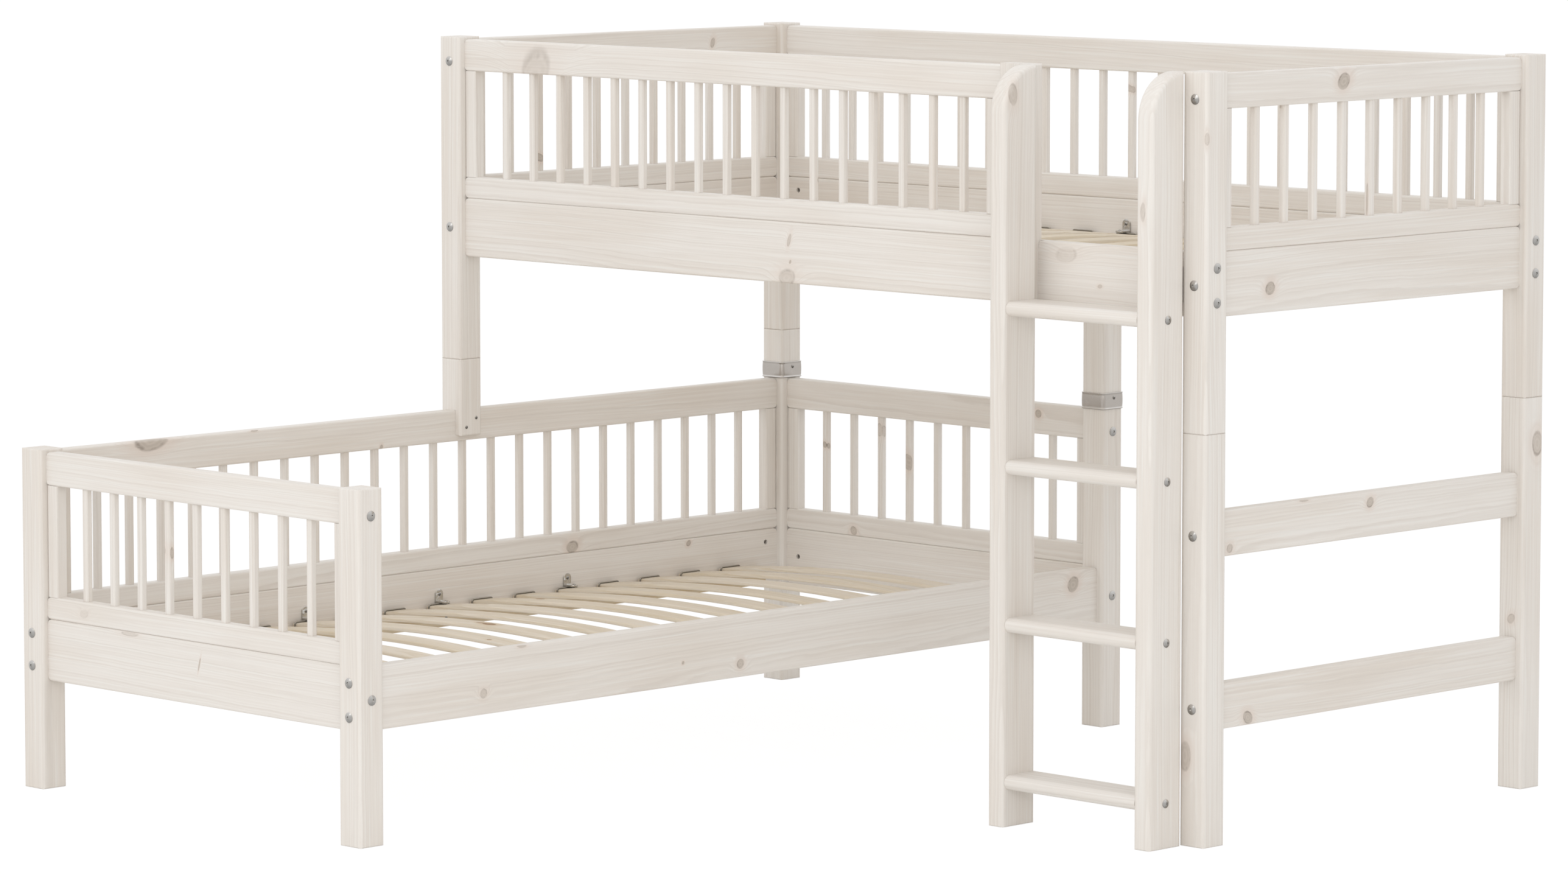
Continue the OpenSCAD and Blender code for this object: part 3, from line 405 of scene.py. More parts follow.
    def year_rings(self) -> bpy.types.NodeTree:
        """Group that draws the rings, the fibres and the larger patches of tone.

        Returns:
            The group: latewood, fibre, streak and patch, each from 0 to 1.
        """
        add, given = new_group("year_rings", "Place Radius Push Ring Seed",
                               "Latewood Fibre Streak Patch", "Place")
        place, radius, push, width, seed = given
        shift = add("MULTIPLY", [seed, self.seed_stride])
        shift = add("CombineXYZ", [shift, seed, seed])
        spot = add("VectorMath ADD", [place, shift])

        def stretched(length: float, across: float, detail: float = 1.0, rough: float = 0.5) -> Socket:
            """Noise whose spots are that long and wide, in mm."""
            scaled = add("VectorMath MULTIPLY", [spot, (1 / length, 1 / across, 1 / across)])
            return add("TexNoise", {"Vector": scaled, "Scale": 1.0, "Detail": detail,
                                          "Roughness": rough})

        ring = add("ADD", [radius, push])
        for (reach, *size), detail in ((self.bow, 0.0), (self.waver, 1.0), (self.tremble, 1.0)):
            centred = add("SUBTRACT", [stretched(*size, detail), 0.5])
            ring = add("MULTIPLY_ADD", [centred, 2 * reach, ring])
        ring = add("DIVIDE", [ring, width])
        # good and bad years: some rings are wide and faint, others narrow and dark
        years = add("ADD", [seed, ring])
        years = add("TexNoise", {"W": years, "Scale": self.year_change, "Detail": 1.0},
                    noise_dimensions="1D")
        ring = add("MULTIPLY_ADD", [years, self.year_reach, ring])
        harsh = add("FLOOR", [ring])
        harsh = add("TexWhiteNoise", [harsh], out="Value", noise_dimensions="1D")
        harsh = add("MapRange", [harsh, 0.0, 1.0, self.faint_year, self.harsh_year])
        season = add("FRACT", [ring])
        rise = add("MapRange", [season, 0.12, 0.84, 0.0, 1.0], **SMOOTH)
        fall = add("MapRange", [season, 0.86, 1.0, 1.0, 0.0], **SMOOTH)
        late = add("MULTIPLY", [rise, fall])
        late = add("MULTIPLY", [late, harsh])
        fibre = stretched(*self.fibre, 2.0, 0.6)
        streak = stretched(*self.streak, 2.0, 0.55)
        patch = stretched(*self.patch)
        add("NodeGroupOutput", [late, fibre, streak, patch])
        return add.tree


# ---------------- finishes

@dataclass(frozen=True)
class WoodFinish:
    """A wood and what was put on it.

    Args:
        name: What it really is.
        slot: The record's slot for it; not used here.
        early: Colour of the soft earlywood, between the lines.
        late: Colour of the latewood lines.
        warm: Colour that the wider patches drift towards.
        pale: Colour of the fine streaks along the grain.
        blush: Colour of the resinous wood round a knot.
        knot: Colour of a knot's darker rings.
        rim: Colour of the bark line round a knot.
        line: How strongly the lines show.
        roughness: Roughness of the earlywood.
        relief: Height of the latewood over the earlywood, in mm.
    """

    name: str
    slot: str
    early: str
    late: str
    warm: str
    pale: str
    blush: str
    knot: str
    rim: str
    line: float
    roughness: float
    relief: float


# Scots pine under a thin white wax wash, wiped off: the wash fills the soft wood and leaves the hard
# lines and knots showing through it, pinkish and grey, with a dull sheen.
WHITEWASHED_PINE = WoodFinish(
    "whitewashed_pine", "whitewashed_pine", early="#E6E1DB", late="#CFC6BD", warm="#DFD7CE",
    pale="#E8E5E0", blush="#D9C8BC", knot="#B9AFA4", rim="#9B9086",
    line=0.5, roughness=0.5, relief=0.03)
# The same pine, planed and left bare: straw yellow with honey brown lines and knots.
SLAT_PINE = WoodFinish(
    "planed_pine", "slat_pine", early="#DFD4C4", late="#C6B496", warm="#D8CAB3", pale="#D6CFC4",
    blush="#C9AB82", knot="#8F673D", rim="#5C3F24", line=0.55, roughness=0.55, relief=0.04)
# Sawn pine battens under the slats, a little browner.
LEDGER_PINE = WoodFinish(
    "sawn_pine", "ledger_pine", early="#D6C8B1", late="#B9A07C", warm="#CDBA9B", pale="#D3C8B5",
    blush="#BE9D72", knot="#94714A", rim="#6B4D2E", line=0.6, roughness=0.7, relief=0.08)
# Turned beech dowels, pinkish brown and even.
BEECH = WoodFinish(
    "turned_beech", "beech_dowel", early="#D6B48C", late="#C39D72", warm="#CDA57C", pale="#DBBD98",
    blush="#C39D72", knot="#A17B52", rim="#80603D", line=0.4, roughness=0.5, relief=0.02)


@dataclass(frozen=True)
class Cut:
    """How one timber was cut from its log.

    Args:
        grain: The axis that its fibres run along.
        wide: The axis across its wide side.
        pith: From its middle to the log's middle, across the wide side and through it, in mm.
        slope: How much the pith leans across and through, in mm for each mm along.
        ring: The width of a year ring, in mm.
        tone: From -1 for a greyer board to 1 for a warmer one.
        share: The share of places for a knot that hold one.
        knots: Knots at places seen in the photograph.
        repeat: How several pieces in the node follow one another.
        turned_above: The height in mm over which the grain runs through the timber's thickness, in
            a node that holds pieces of both beds.
    """

    grain: Axis
    wide: Axis
    pith: tuple[float, float]
    slope: tuple[float, float]
    ring: float
    tone: float
    share: float
    knots: tuple[Knot, ...] = ()
    repeat: Union[Repeat, None] = None
    turned_above: Union[float, None] = None

    @property
    def thick(self) -> Axis:
        """The axis through the timber, across its grain and its wide side."""
        return next(a for a in Axis if a not in (self.grain, self.wide))


@dataclass
class WoodShop:
    """Makes the material of each timber from its finish and its cut."""

    grain: PineGrain
    pith_spread: tuple[float, ...] = (0.0, 70.0, 50.0)  # of the piths of repeated pieces, in mm
    seed_spread: float = 60.0  # and of the seeds of their patterns
    least_slant: float = 0.35  # a branch flatter to its face than this keeps some of its oval

    def place(self, add: Nodes, cut: Cut, centre: Vector) -> tuple[Socket, Value]:
        """Adds the place within the timber, in mm, and the number of each repeated piece.

        Args:
            add: Adds the material's nodes.
            cut: The timber's cut.
            centre: The middle of the node's box, in mm.

        Returns:
            The place as along, across and through, and the number of a repeated piece or None.
        """
        spot = add("TexCoord", out="Object")
        spot = add("VectorMath SCALE", {"Vector": spot, "Scale": 1 / MM})
        height = add("SeparateXYZ", [spot], out="Z")
        spot = add("VectorMath SUBTRACT", [spot, tuple(centre)])
        parts = list(add("SeparateXYZ", [spot]).node.outputs)
        count = None
        if cut.repeat:
            axis = cut.repeat.axis.value
            steps = add("SUBTRACT", [parts[axis], cut.repeat.start - centre[axis]])
            count = add("DIVIDE", [steps, cut.repeat.pitch])
            count = add("ROUND", [count])
            parts[axis] = add("MULTIPLY_ADD", [count, -cut.repeat.pitch, steps])
        place = add("CombineXYZ", [parts[a.value] for a in (cut.grain, cut.wide, cut.thick)])
        if cut.turned_above is not None:
            other = add("CombineXYZ", [parts[a.value] for a in (cut.thick, cut.wide, cut.grain)])
            above = add("GREATER_THAN", [height, cut.turned_above])
            place = add("Mix", {"Factor": above, "A": place, "B": other}, data_type="VECTOR")
        return place, count

    def branch(self, add: Nodes, knot: Knot, cut: Cut, centre: Vector, count: Value,
               pith: Value) -> list[Value]:
        """Turns a knot seen on the surface into a branch in the log.

        Args:
            add: Adds the material's nodes.
            knot: The knot.
            cut: The timber's cut.
            centre: The middle of the node's box, in mm.
            count: The number of a repeated piece, or None.
            pith: Where the log's middle lies.

        Returns:
            Where it leaves the log, its radius, length, squeeze and strength, for its node group.
        """
        off = Vector(knot.at) - centre
        size: Value = knot.size
        if cut.repeat:
            axis, pitch = cut.repeat.axis.value, cut.repeat.pitch
            steps = knot.at[axis] - cut.repeat.start
            off[axis] = steps - round(steps / pitch) * pitch
            here = add("COMPARE", [count, float(round(steps / pitch)), 0.5])
            size = add("MULTIPLY", [here, knot.size])
        spot = tuple(off[a.value] for a in (cut.grain, cut.wide, cut.thick))
        at = add("CombineXYZ", list(self.grain.use(add, "log", [spot, pith, (0.0, *cut.slope)])))
        # a branch that meets the face at a slant would show as an oval; this keeps it as round as seen
        ray = Vector(spot[1:]) - Vector(cut.pith) - spot[0] * Vector(cut.slope)
        slant = max(abs(ray.y) / ray.length, self.least_slant)
        return [at, size, knot.long, 1 / slant, knot.strength]

    def material(self, node: str, finish: WoodFinish, cut: Cut, seed: float) -> bpy.types.Material:
        """Makes a timber's material.

        Args:
            node: The timber's name.
            finish: Its finish.
            cut: Its cut.
            seed: A number that no other timber has.

        Returns:
            The material.
        """
        lo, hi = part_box(node)
        centre = (lo + hi) / 2 / MM
        material = bpy.data.materials.new(f"{finish.name}_{node}")
        add = fresh_nodes(material)
        place, count = self.place(add, cut, centre)
        pith: Value = (0.0, *cut.pith)
        shift: Value = seed
        chance: Value = None
        if count is not None:
            chance = add("TexWhiteNoise", [count], out="Color", noise_dimensions="1D")
            turn = add("VectorMath SUBTRACT", [chance, (0.5, 0.5, 0.5)])
            turn = add("VectorMath MULTIPLY", [turn, self.pith_spread])
            pith = add("VectorMath ADD", [turn, pith])
            shift = add("SeparateColor", [chance], out="Red")
            shift = add("MULTIPLY_ADD", [shift, self.seed_spread, seed])
        spot = list(self.grain.use(add, "log", [place, pith, (0.0, *cut.slope)]))
        push, marks = self.grain.use(add, "whorls", [*spot, shift, cut.share])
        for knot in cut.knots:
            branch = self.branch(add, knot, cut, centre, count, pith)
            more_push, more_marks = self.grain.use(add, "knot", [*spot, *branch])
            push = add("ADD", [push, more_push])
            marks = add("VectorMath MAXIMUM", [marks, more_marks])
        rings = self.grain.use(add, "rings", [place, spot[-1], push, cut.ring, shift])
        self.dress(add, finish, rings, marks, chance, cut.tone)
        return material

    def dress(self, add: Nodes, finish: WoodFinish, rings: bpy.types.NodeOutputs,
              marks: Socket, chance: Value, tone: float) -> None:
        """Turns the grain into colour, roughness and relief.

        Args:
            add: Adds the material's nodes.
            finish: The finish.
            rings: The outputs of the group of year rings.
            marks: How much of a knot's face, rim and halo shows.
            chance: The random colour of a repeated piece, or None.
            tone: How warm the timber is.
        """
        face, rim, halo = add("SeparateXYZ", [marks]).node.outputs
        patch = add("MapRange", [rings["Patch"], 0.3, 0.7, 0.3 * tone - 0.15, 0.3 * tone + 0.8])
        if chance is not None:
            own = add("SeparateColor", [chance], out="Green")
            patch = add("MULTIPLY_ADD", [own, 0.8, patch])
            patch = add("SUBTRACT", [patch, 0.35])
        patch = add("MAXIMUM", [patch, 0.0])
        streak = add("MapRange", [rings["Streak"], 0.5, 0.75, 0.0, 0.8])
        thin = add("MapRange", [rings["Streak"], 0.5, 0.25, 0.0, 0.35])
        fibre = add("MapRange", [rings["Fibre"], 0.3, 0.7, 0.6, 1.25], clamp=False)
        line = add("MULTIPLY", [rings["Latewood"], finish.line])
        line = add("MAXIMUM", [line, thin])
        line = add("MULTIPLY", [line, fibre])
        halo = add("MULTIPLY", [halo, 0.5])
        colour: Value = linear(finish.early)
        for share, shade in ((patch, finish.warm), (streak, finish.pale), (line, finish.late),
                             (halo, finish.blush), (face, finish.knot), (rim, finish.rim)):
            colour = add("Mix", {"Factor": share, "A": colour, "B": linear(shade)},
                         data_type="RGBA")
        rough = add("MapRange", [line, 0.0, 1.0, finish.roughness, finish.roughness - 0.1])
        height = add("MULTIPLY_ADD", [rings["Fibre"], 0.5, rings["Latewood"]])
        normal = add("Bump", {"Strength": 1.0, "Distance": finish.relief * MM, "Height": height})
        shader = add("BsdfPrincipled", {"Base Color": colour, "Roughness": rough, "Normal": normal,
                                              "IOR": 1.5, "Specular IOR Level": 0.3})
        add("OutputMaterial", [shader])


FULL_PAINTED_HIGHLIGHT, FULL_PAINTED_SHADE = 0.7, -0.6   # how far up or down a metal face turns to take only the painted highlight or the painted shade


@dataclass(frozen=True)
class MetalFinish:
    """A metal and how its surface was made.

    Args:
        name: What it really is.
        slot: The record's slot for it; not used here.
        colour: Its colour on an upright face, which mirrors the room's walls.
        painted_highlight: Painted highlight, the colour painted on faces that turn up, for the lamps
            above.
        painted_shade: Painted shade, the colour painted on faces that turn down and in the grit marks.
        rough: Least and most roughness, between which it varies.
        grit: Size of the marks in its surface, in mm.
        relief: Height of those marks, in mm.
        metallic: 1 for bare metal, less under a coat.
    """

    name: str
    slot: str
    colour: str
    painted_highlight: str
    painted_shade: str
    rough: tuple[float, float]
    grit: float
    relief: float
    metallic: float = 1.0

    def material(self) -> bpy.types.Material:
        """Makes the material.

        Returns:
            The material.
        """
        material = bpy.data.materials.new(self.name)
        add = fresh_nodes(material)
        spot = add("TexCoord", out="Object")
        marks = add("TexNoise", {"Vector": spot, "Scale": 1 / (self.grit * MM), "Detail": 3.0})
        cloud = add("TexNoise", {"Vector": spot, "Scale": 0.12 / (self.grit * MM), "Detail": 2.0})
        rough = add("MapRange", [cloud, 0.3, 0.7, *self.rough])
        # painted highlight on faces that turn up and painted shade on faces that turn down, chosen by
        # the normal
        facing = add("NewGeometry", out="Normal")
        facing = add("SeparateXYZ", [facing], out="Z")
        painted_highlight_share = add("MapRange", [facing, 0.0, FULL_PAINTED_HIGHLIGHT, 0.0, 1.0], **SMOOTH)
        painted_shade_share = add("MapRange", [facing, 0.0, FULL_PAINTED_SHADE, 0.0, 0.8], **SMOOTH)
        shade = add("MapRange", [marks, 0.35, 0.65, 0.0, 0.12])
        colour: Value = linear(self.colour)
        for share, tone in ((painted_highlight_share, self.painted_highlight), (painted_shade_share, self.painted_shade), (shade, self.painted_shade)):
            colour = add("Mix", {"Factor": share, "A": colour, "B": linear(tone)},
                         data_type="RGBA")
        normal = add("Bump", {"Strength": 1.0, "Distance": self.relief * MM, "Height": marks})
        shader = add("BsdfPrincipled", {"Base Color": colour, "Roughness": rough, "Normal": normal,
                                              "Metallic": self.metallic})
        add("OutputMaterial", [shader])
        return material


# Each metal below: its own colour, then the painted highlight for faces that turn up, then the painted
# shade for faces that turn down.
# Nickel-plated steel bolts, tumbled smooth: grey, with a dark recess; the dome is paler where it turns
# up, from painted highlight, and darker where it turns down, from painted shade.
NICKEL = MetalFinish("nickel_plated_steel", "bright_steel", "#ACAAA7", "#E0DEDB", "#75736F",
                     rough=(0.18, 0.3), grit=1.2, relief=0.003)
# Bright chrome on pressed brackets: a sharp mirror, with painted white highlight on faces that turn up
# and painted dark shade on faces that turn down, side by side.
CHROME = MetalFinish("chromed_steel", "bright_steel", "#C5C3BF", "#FBFAF8", "#6A6763",
                     rough=(0.06, 0.15), grit=2.5, relief=0.003)
# Brushed steel collars, pale and satin, with a painted highlight on faces that turn up, which brightens
# the lower edge's upper side, and painted shade on those that turn down.
BRUSHED = MetalFinish("brushed_steel", "satin_steel", "#B5AFA9", "#E6E4E1", "#96918B",
                      rough=(0.26, 0.38), grit=1.5, relief=0.001)
# Turned steel barrel nuts, dull from the lathe.
TURNED = MetalFinish("turned_steel", "satin_steel", "#85827D", "#C9C7C4", "#55524E",
                     rough=(0.35, 0.5), grit=0.8, relief=0.005)
# Spring wire under a brownish grey passivated coat, half dull.
WIRE = MetalFinish("passivated_wire", "clip_wire", "#857F75", "#AFA99E", "#5A554C",
                   rough=(0.32, 0.5), grit=1.0, relief=0.005, metallic=0.6)
# Small screws with a grey phosphate coat.
PHOSPHATED = MetalFinish("phosphated_steel", "screw_steel", "#7F7B76", "#C4C1BC", "#4A4743",
                         rough=(0.3, 0.45), grit=0.6, relief=0.005)


def dress_node(node: str, material: bpy.types.Material) -> None:
    """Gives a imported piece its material.

    Args:
        node: The piece's name.
        material: The material.
    """
    piece = NODES[node]
    for held in piece.material_slots:
        held.material = material
    if not piece.material_slots:
        piece.data.materials.append(material)
    log.info("%s: %s", node, material.name)


def place_formed(mesh: bmesh.types.BMesh, node: str, finish: MetalFinish) -> None:
    """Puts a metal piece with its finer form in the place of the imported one.

    Args:
        mesh: The finer form, which is used up.
        node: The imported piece's name.
        finish: Its finish.
    """
    data = bpy.data.meshes.new(f"{node}_formed")
    mesh.to_mesh(data)
    mesh.free()
    data.shade_smooth()
    piece = put(data.name, data)
    data.materials.append(finish.material())
    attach(piece, BODY)
    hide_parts(node)
    log.info("%s: %d faces", piece.name, len(data.polygons))


# ---------------- timber sub-assemblies

@dataclass
class Joinery:
    """What the timber sub-assemblies share: the shop and the drawing of seeds."""

    shop: WoodShop
    drawn: int = 0
    seed_step: float = 7.31          # between two timbers' seeds

    def timber(self, node: str, finish: WoodFinish = WHITEWASHED_PINE, **cut: object) -> None:
        """Dresses a wooden node, with a cut drawn by chance where neither MARKED nor a call sets it.

        Args:
            node: The node's name.
            finish: Its finish.
            cut: Fields of its cut that follow from what it is.
        """
        cut |= MARKED.get(node, {})
        self.drawn += 1
        chance = random.Random(self.drawn)
        lo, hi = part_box(node)
        grain, wide, _ = sorted(Axis, key=lambda a: -(hi - lo)[a.value])
        drawn_cut = {
            "grain": grain,
            "wide": wide,
            "pith": (chance.choice((-1, 1)) * chance.uniform(62, 125),
                     chance.choice((-1, 1)) * chance.uniform(40, 90)),
            "slope": (chance.uniform(-0.012, 0.012), chance.uniform(-0.015, 0.015)),
            "ring": chance.uniform(3.6, 6.2),
            "tone": chance.uniform(-1, 1),
            "share": 0.0 if "knots" in cut else 0.05,
        }
        drawn_cut.update(cut)
        material = self.shop.material(node, finish, Cut(**drawn_cut), self.seed_step * self.drawn)
        dress_node(node, material)


SIDE_PITCH, END_PITCH = 80.5, 83.0        # of the spindles, in mm
LOW_X, HIGH_Y = -550.0, 550.0             # middles of the low and the high bed, in mm
FRONT_START = -877.2                      # first spindle of the front guard
SLAT_PITCH, SLAT_SHIFT = 120.75, 9.0      # the rows stand a little off the middles of the beds
RUNG_PITCH, RUNG_START = 298.5, 85.0

LEFT = Face(Axis.X, -1006.0)              # inner side of the left boards and rails
FRONT = Face(Axis.Y, -1034.0)             # outer side of the low bed's front
SIDE = Face(Axis.X, -66.0)                # outer side of the low bed's right board
BACK = Face(Axis.Y, 1006.0)               # inner side of the low bed's back
HIGH = Face(Axis.Y, 66.0)                 # outer side of the high bed's front
END = Face(Axis.X, 1034.0)                # outer side of the high bed's right end and the cross bars

# Cuts set one by one, from what the photograph shows of a timber. The pith is chosen so that a branch
# comes in through a side that does not show, and is cut by the side that does.
MARKED: dict[str, dict[str, object]] = {
    "low_left_guard_top_rail": {
        "pith": (-70, -80),
        "knots": LEFT.knots((-758, 662, 21, 1.9, 0.9), (-491, 662, 3, 3, 0.8), (-154, 600, 5.5, 0.7))},
    "low_left_guard_bottom_rail": {"pith": (-50, -70), "knots": LEFT.knots((380, 347, 12, 1.3, 0.9))},
    "low_side_board_left": {
        "pith": (-80, -70), "tone": 0.8, "ring": 3.6, "knots": LEFT.knots((722, 324, 6))},
    "low_side_board_right": {
        "pith": (-62, -95), "slope": (0, 0.01), "tone": -0.2, "ring": 3.6,
        "knots": SIDE.knots((917, 305, 15), (-727, 254, 9, 0.9, 0.55), (-627, 336, 5, 2.2, 0.7),
            (-49, 240, 9, 1, 0.8), (-205, 258, 3))},
    "low_end_board_front": {
        "pith": (-130, 60), "tone": -0.6, "ring": 4.6,
        "knots": FRONT.knots((-530, 292, 12, 0.14, 0.9), (-738, 331, 5, 5, 0.4))},
    "low_front_guard_bottom_rail": {
        "pith": (-60, 60), "tone": -0.6, "ring": 4.2, "knots": FRONT.knots((-877, 355, 8, 1.5, 0.2))},
    "low_front_guard_top_rail": {"pith": (-75, 45), "tone": -0.6, "ring": 3.6, "share": 0},
    "low_back_guard_spindles": {
        "knots": Face(Axis.Y, 1012).knots((-882, 525, 4.5, 1.4), (-716, 570, 6.5, 2.2, 0.45),
            (-633, 507, 6, 2.6, 0.8))},
    "low_front_guard_spindles": {"knots": Face(Axis.Y, -1020).knots((-626, 496, 5, 2.2, 0.8))},
    "high_left_guard_spindles": {"knots": Face(Axis.X, -1012).knots((298, 1174, 5.5, 1.4))},
    "high_right_guard_spindles": {"knots": Face(Axis.X, 1021).knots((543, 1177, 2.6, 11, 0.7))},
    "low_back_guard_bottom_rail": {"pith": (30, 70), "knots": BACK.knots((-787, 346, 9, 1, 0.8))},
    "low_back_guard_top_rail": {"pith": (30, 90), "knots": BACK.knots((-247, 640, 8))},
    "low_post_back_left": {
        "wide": Axis.X, "pith": (20, 80), "knots": Face(Axis.Y, 990).knots((-1019, 472, 7, 2, 0.9))},
    "high_front_guard_top_rail": {
        "pith": (-60, 30), "tone": -0.4, "ring": 4.2, "share": 0,
        "knots": HIGH.knots((-778, 1364, 36, 1, 0.42))},
    "high_side_board_front": {
        "pith": (-85, 50), "tone": -0.3, "ring": 4.4, "share": 0.02,
        "knots": HIGH.knots((-52, 992, 16, 1.3, 0.5), (-43, 1024, 3.4, 0.7), (-46, 1066, 12, 0.35, 0.6),
            (688.3, 1078.9, 14, 1.8, 0.25), (773.1, 1025, 3.5, 1.5, 0.6))},
    "high_right_guard_top_rail": {"pith": (-60, -80), "knots": END.knots((456, 1403, 14.5, 1.1))},
    "high_end_board_right": {
        "pith": (-70, -95), "tone": 0.1, "knots": END.knots((248, 1026, 11.5, 1.1))},
    "high_left_guard_top_rail": {
        "pith": (-75, -70), "ring": 5.4, "tone": 0.8, "knots": LEFT.knots((796, 1398, 10, 0.6, 0.8))},
    "high_post_front_right": {
        "wide": Axis.Y, "pith": (70, -70), "knots": Face(Axis.X, 1049).knots((51, 1313, 6, 1.9, 0.5))},
    "cross_bar_upper": {
        "pith": (-60, -90),
        "knots": END.knots((543, 601, 9.5, 1, 0.9), (138, 550, 8, 1, 0.7), (351, 622, 3, 4, 0.7))},
    "cross_bar_lower": {"pith": (60, -80), "knots": END.knots((192, 229, 12, 1, 0.9))},
    "leg_back_right": {
        "wide": Axis.Y, "pith": (15, -75),
        "knots": (*Face(Axis.X, 1050).knots((1031, 676, 15, 1.6, 0.7)),
            *Face(Axis.Y, 990).knots((1021.7, 334.1, 5, 1.8, 0.6)))},
    "leg_front_right": {
        "wide": Axis.X, "pith": (-25, 75), "knots": Face(Axis.Y, 50).knots((1004, 168, 13, 2, 0.7))},
    "guard_end_plank": {"pith": (-95, 60), "tone": 0.2},
    "ladder_stile_left": {
        "wide": Axis.X, "pith": (-60, 90), "tone": -0.2, "ring": 5,
        "knots": Face(Axis.Y, -34).knots((641, 1387, 9.5, 2.2, 0.6))},
    "ladder_stile_right": {
        "wide": Axis.X, "pith": (-70, 90), "tone": -0.4, "ring": 5.4,
        "knots": Face(Axis.Y, -44).knots((977, 1180, 5.8, 2.8, 0.5))},
    # resinous knots, each at the height of its slat's crowned top
    "low_slats": {
        "knots": (Knot((-581, -246, 279), 9, 1.7), Knot((-606, -243, 279), 5, 3, 0.7),
            Knot((-835, 129, 269), 5, 2.2), Knot((-888, 48, 265), 3, 3, 0.7),
            Knot((-990, 151, 255), 3, 1.5), Knot((-817, 282, 271), 5.5, 2),
            Knot((-953, 424, 259), 4, 2.2))},
}


@dataclass
class BedFrame:
    """One bed's posts, boards and guards.

    Args:
        joinery: The shared shop.
        name: low or high.
        boards: Names of its boards.
        guards: Names of its guards, each with the axis that it runs along.
    """

    joinery: Joinery
    name: str
    boards: tuple[str, ...]
    guards: dict[str, Repeat]

    def dress(self) -> None:
        """Dresses every timber of the bed."""
        corners = (f"{self.name}_post_{end}_{side}"
                   for end in ("front", "back") for side in ("left", "right"))
        for node in (*corners, *self.boards):
            self.joinery.timber(node)
        for guard, repeat in self.guards.items():
            for rail in ("top_rail", "bottom_rail"):
                self.joinery.timber(f"{guard}_guard_{rail}")
            wide = Axis.X if repeat.axis is Axis.Y else Axis.Y
            self.joinery.timber(f"{guard}_guard_spindles", grain=Axis.Z, wide=wide, pith=(30.0, 45.0),
                                share=0.06, repeat=repeat)


@dataclass
class Supports:
    """Legs, cross bars and risers that carry the high bed, and the collars on their joints.

    Lengths are in mm.
    """

    joinery: Joinery
    post: float = 60.0
    post_edge: float = 7.5           # rounding of the post's corners
    play: float = 0.2                # between post and collar
    segments: int = 10               # in a quarter turn
    # the collar's outer side from its foot to its top: height, and how far it stands off the post
    foot_lip: tuple[tuple[float, float], ...] = (
        (0.0, 0.7), (0.25, 2.0), (0.9, 3.0), (1.8, 3.3), (2.7, 2.9), (3.2, 2.2))
    top_lip: tuple[tuple[float, float], ...] = (
        (32.4, 2.2), (32.9, 2.8), (33.6, 3.1), (34.5, 3.0), (34.9, 2.5), (35.0, 1.4))
    bulge: float = 0.85
    bulge_shape: float = 0.6         # under 1 for a band that is flat in its middle
    bulge_rings: int = 9

    def dress(self) -> None:
        """Dresses the timbers and builds the collars."""
        for node in ("leg_front_right", "leg_back_right", "cross_bar_lower", "cross_bar_upper",
                     "riser_front_left", "riser_back_left", "riser_back_middle"):
            self.joinery.timber(node)
        self.build_collars()

    def ring(self, off: float, z: float, centre: Vector) -> list[Vector]:
        """Points round a collar at one height.

        Args:
            off: How far it stands off the post, in mm.
            z: Height above the collar's foot, in mm.
            centre: Middle of the collar's foot, in metres.

        Returns:
            The points, anticlockwise.
        """
        flat = self.post / 2 - self.post_edge
        radius = self.post_edge + off
        points = []
        for quarter in range(4):
            middle = Matrix.Rotation(quarter * math.pi / 2, 3, "Z") @ Vector((flat, flat, 0.0))
            for i in range(self.segments + 1):
                turn = (quarter + i / self.segments) * math.pi / 2
                point = middle + radius * Vector((math.cos(turn), math.sin(turn), 0.0))
                points.append(centre + MM * (point + Vector((0.0, 0.0, z))))
        return points

    def profile(self) -> list[tuple[float, float]]:
        """Draws a collar's section.

        Returns:
            Heights and distances from the post, up the outer side and back down the inner one.
        """
        low_z, low_off = self.foot_lip[-1]
        top_z, _ = self.top_lip[0]
        band = []
        for i in range(1, self.bulge_rings):
            share = i / self.bulge_rings
            off = low_off + self.bulge * math.sin(math.pi * share) ** self.bulge_shape
            band.append((low_z + share * (top_z - low_z), off))
        return [*self.foot_lip, *band, *self.top_lip, (self.top_lip[-1][0], self.play), (0.0, self.play)]

    def build_collars(self) -> None:
        """Builds both collars as one piece that stands for the plain ones."""
        lo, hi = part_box("joint_collars")
        half = (hi - lo)[1] / 2
        mesh = bmesh.new()
        for x in (lo.x + half, hi.x - half):
            centre = Vector((x, (lo.y + hi.y) / 2, lo.z))
            rings = [[mesh.verts.new(p) for p in self.ring(off, z, centre)] for z, off in self.profile()]
            for low, high in zip(rings, rings[1:] + rings[:1]):
                for i in range(len(low)):
                    j = (i + 1) % len(low)
                    mesh.faces.new((low[i], low[j], high[j], high[i]))
        bmesh.ops.recalc_face_normals(mesh, faces=mesh.faces)
        place_formed(mesh, "joint_collars", BRUSHED)


@dataclass
class Ladder:
    """Stiles, rungs, spacers and the plank beside them."""

    joinery: Joinery

    def dress(self) -> None:
        """Dresses the ladder's timbers."""
        for node in ("guard_end_plank", "ladder_stile_left", "ladder_stile_right"):
            self.joinery.timber(node)
        self.joinery.timber("ladder_rungs", grain=Axis.X, wide=Axis.Y, pith=(30.0, 50.0), share=0.06,
                            repeat=Repeat(Axis.Z, RUNG_PITCH, RUNG_START))
        self.joinery.timber("ladder_spacers", grain=Axis.Z, wide=Axis.X)


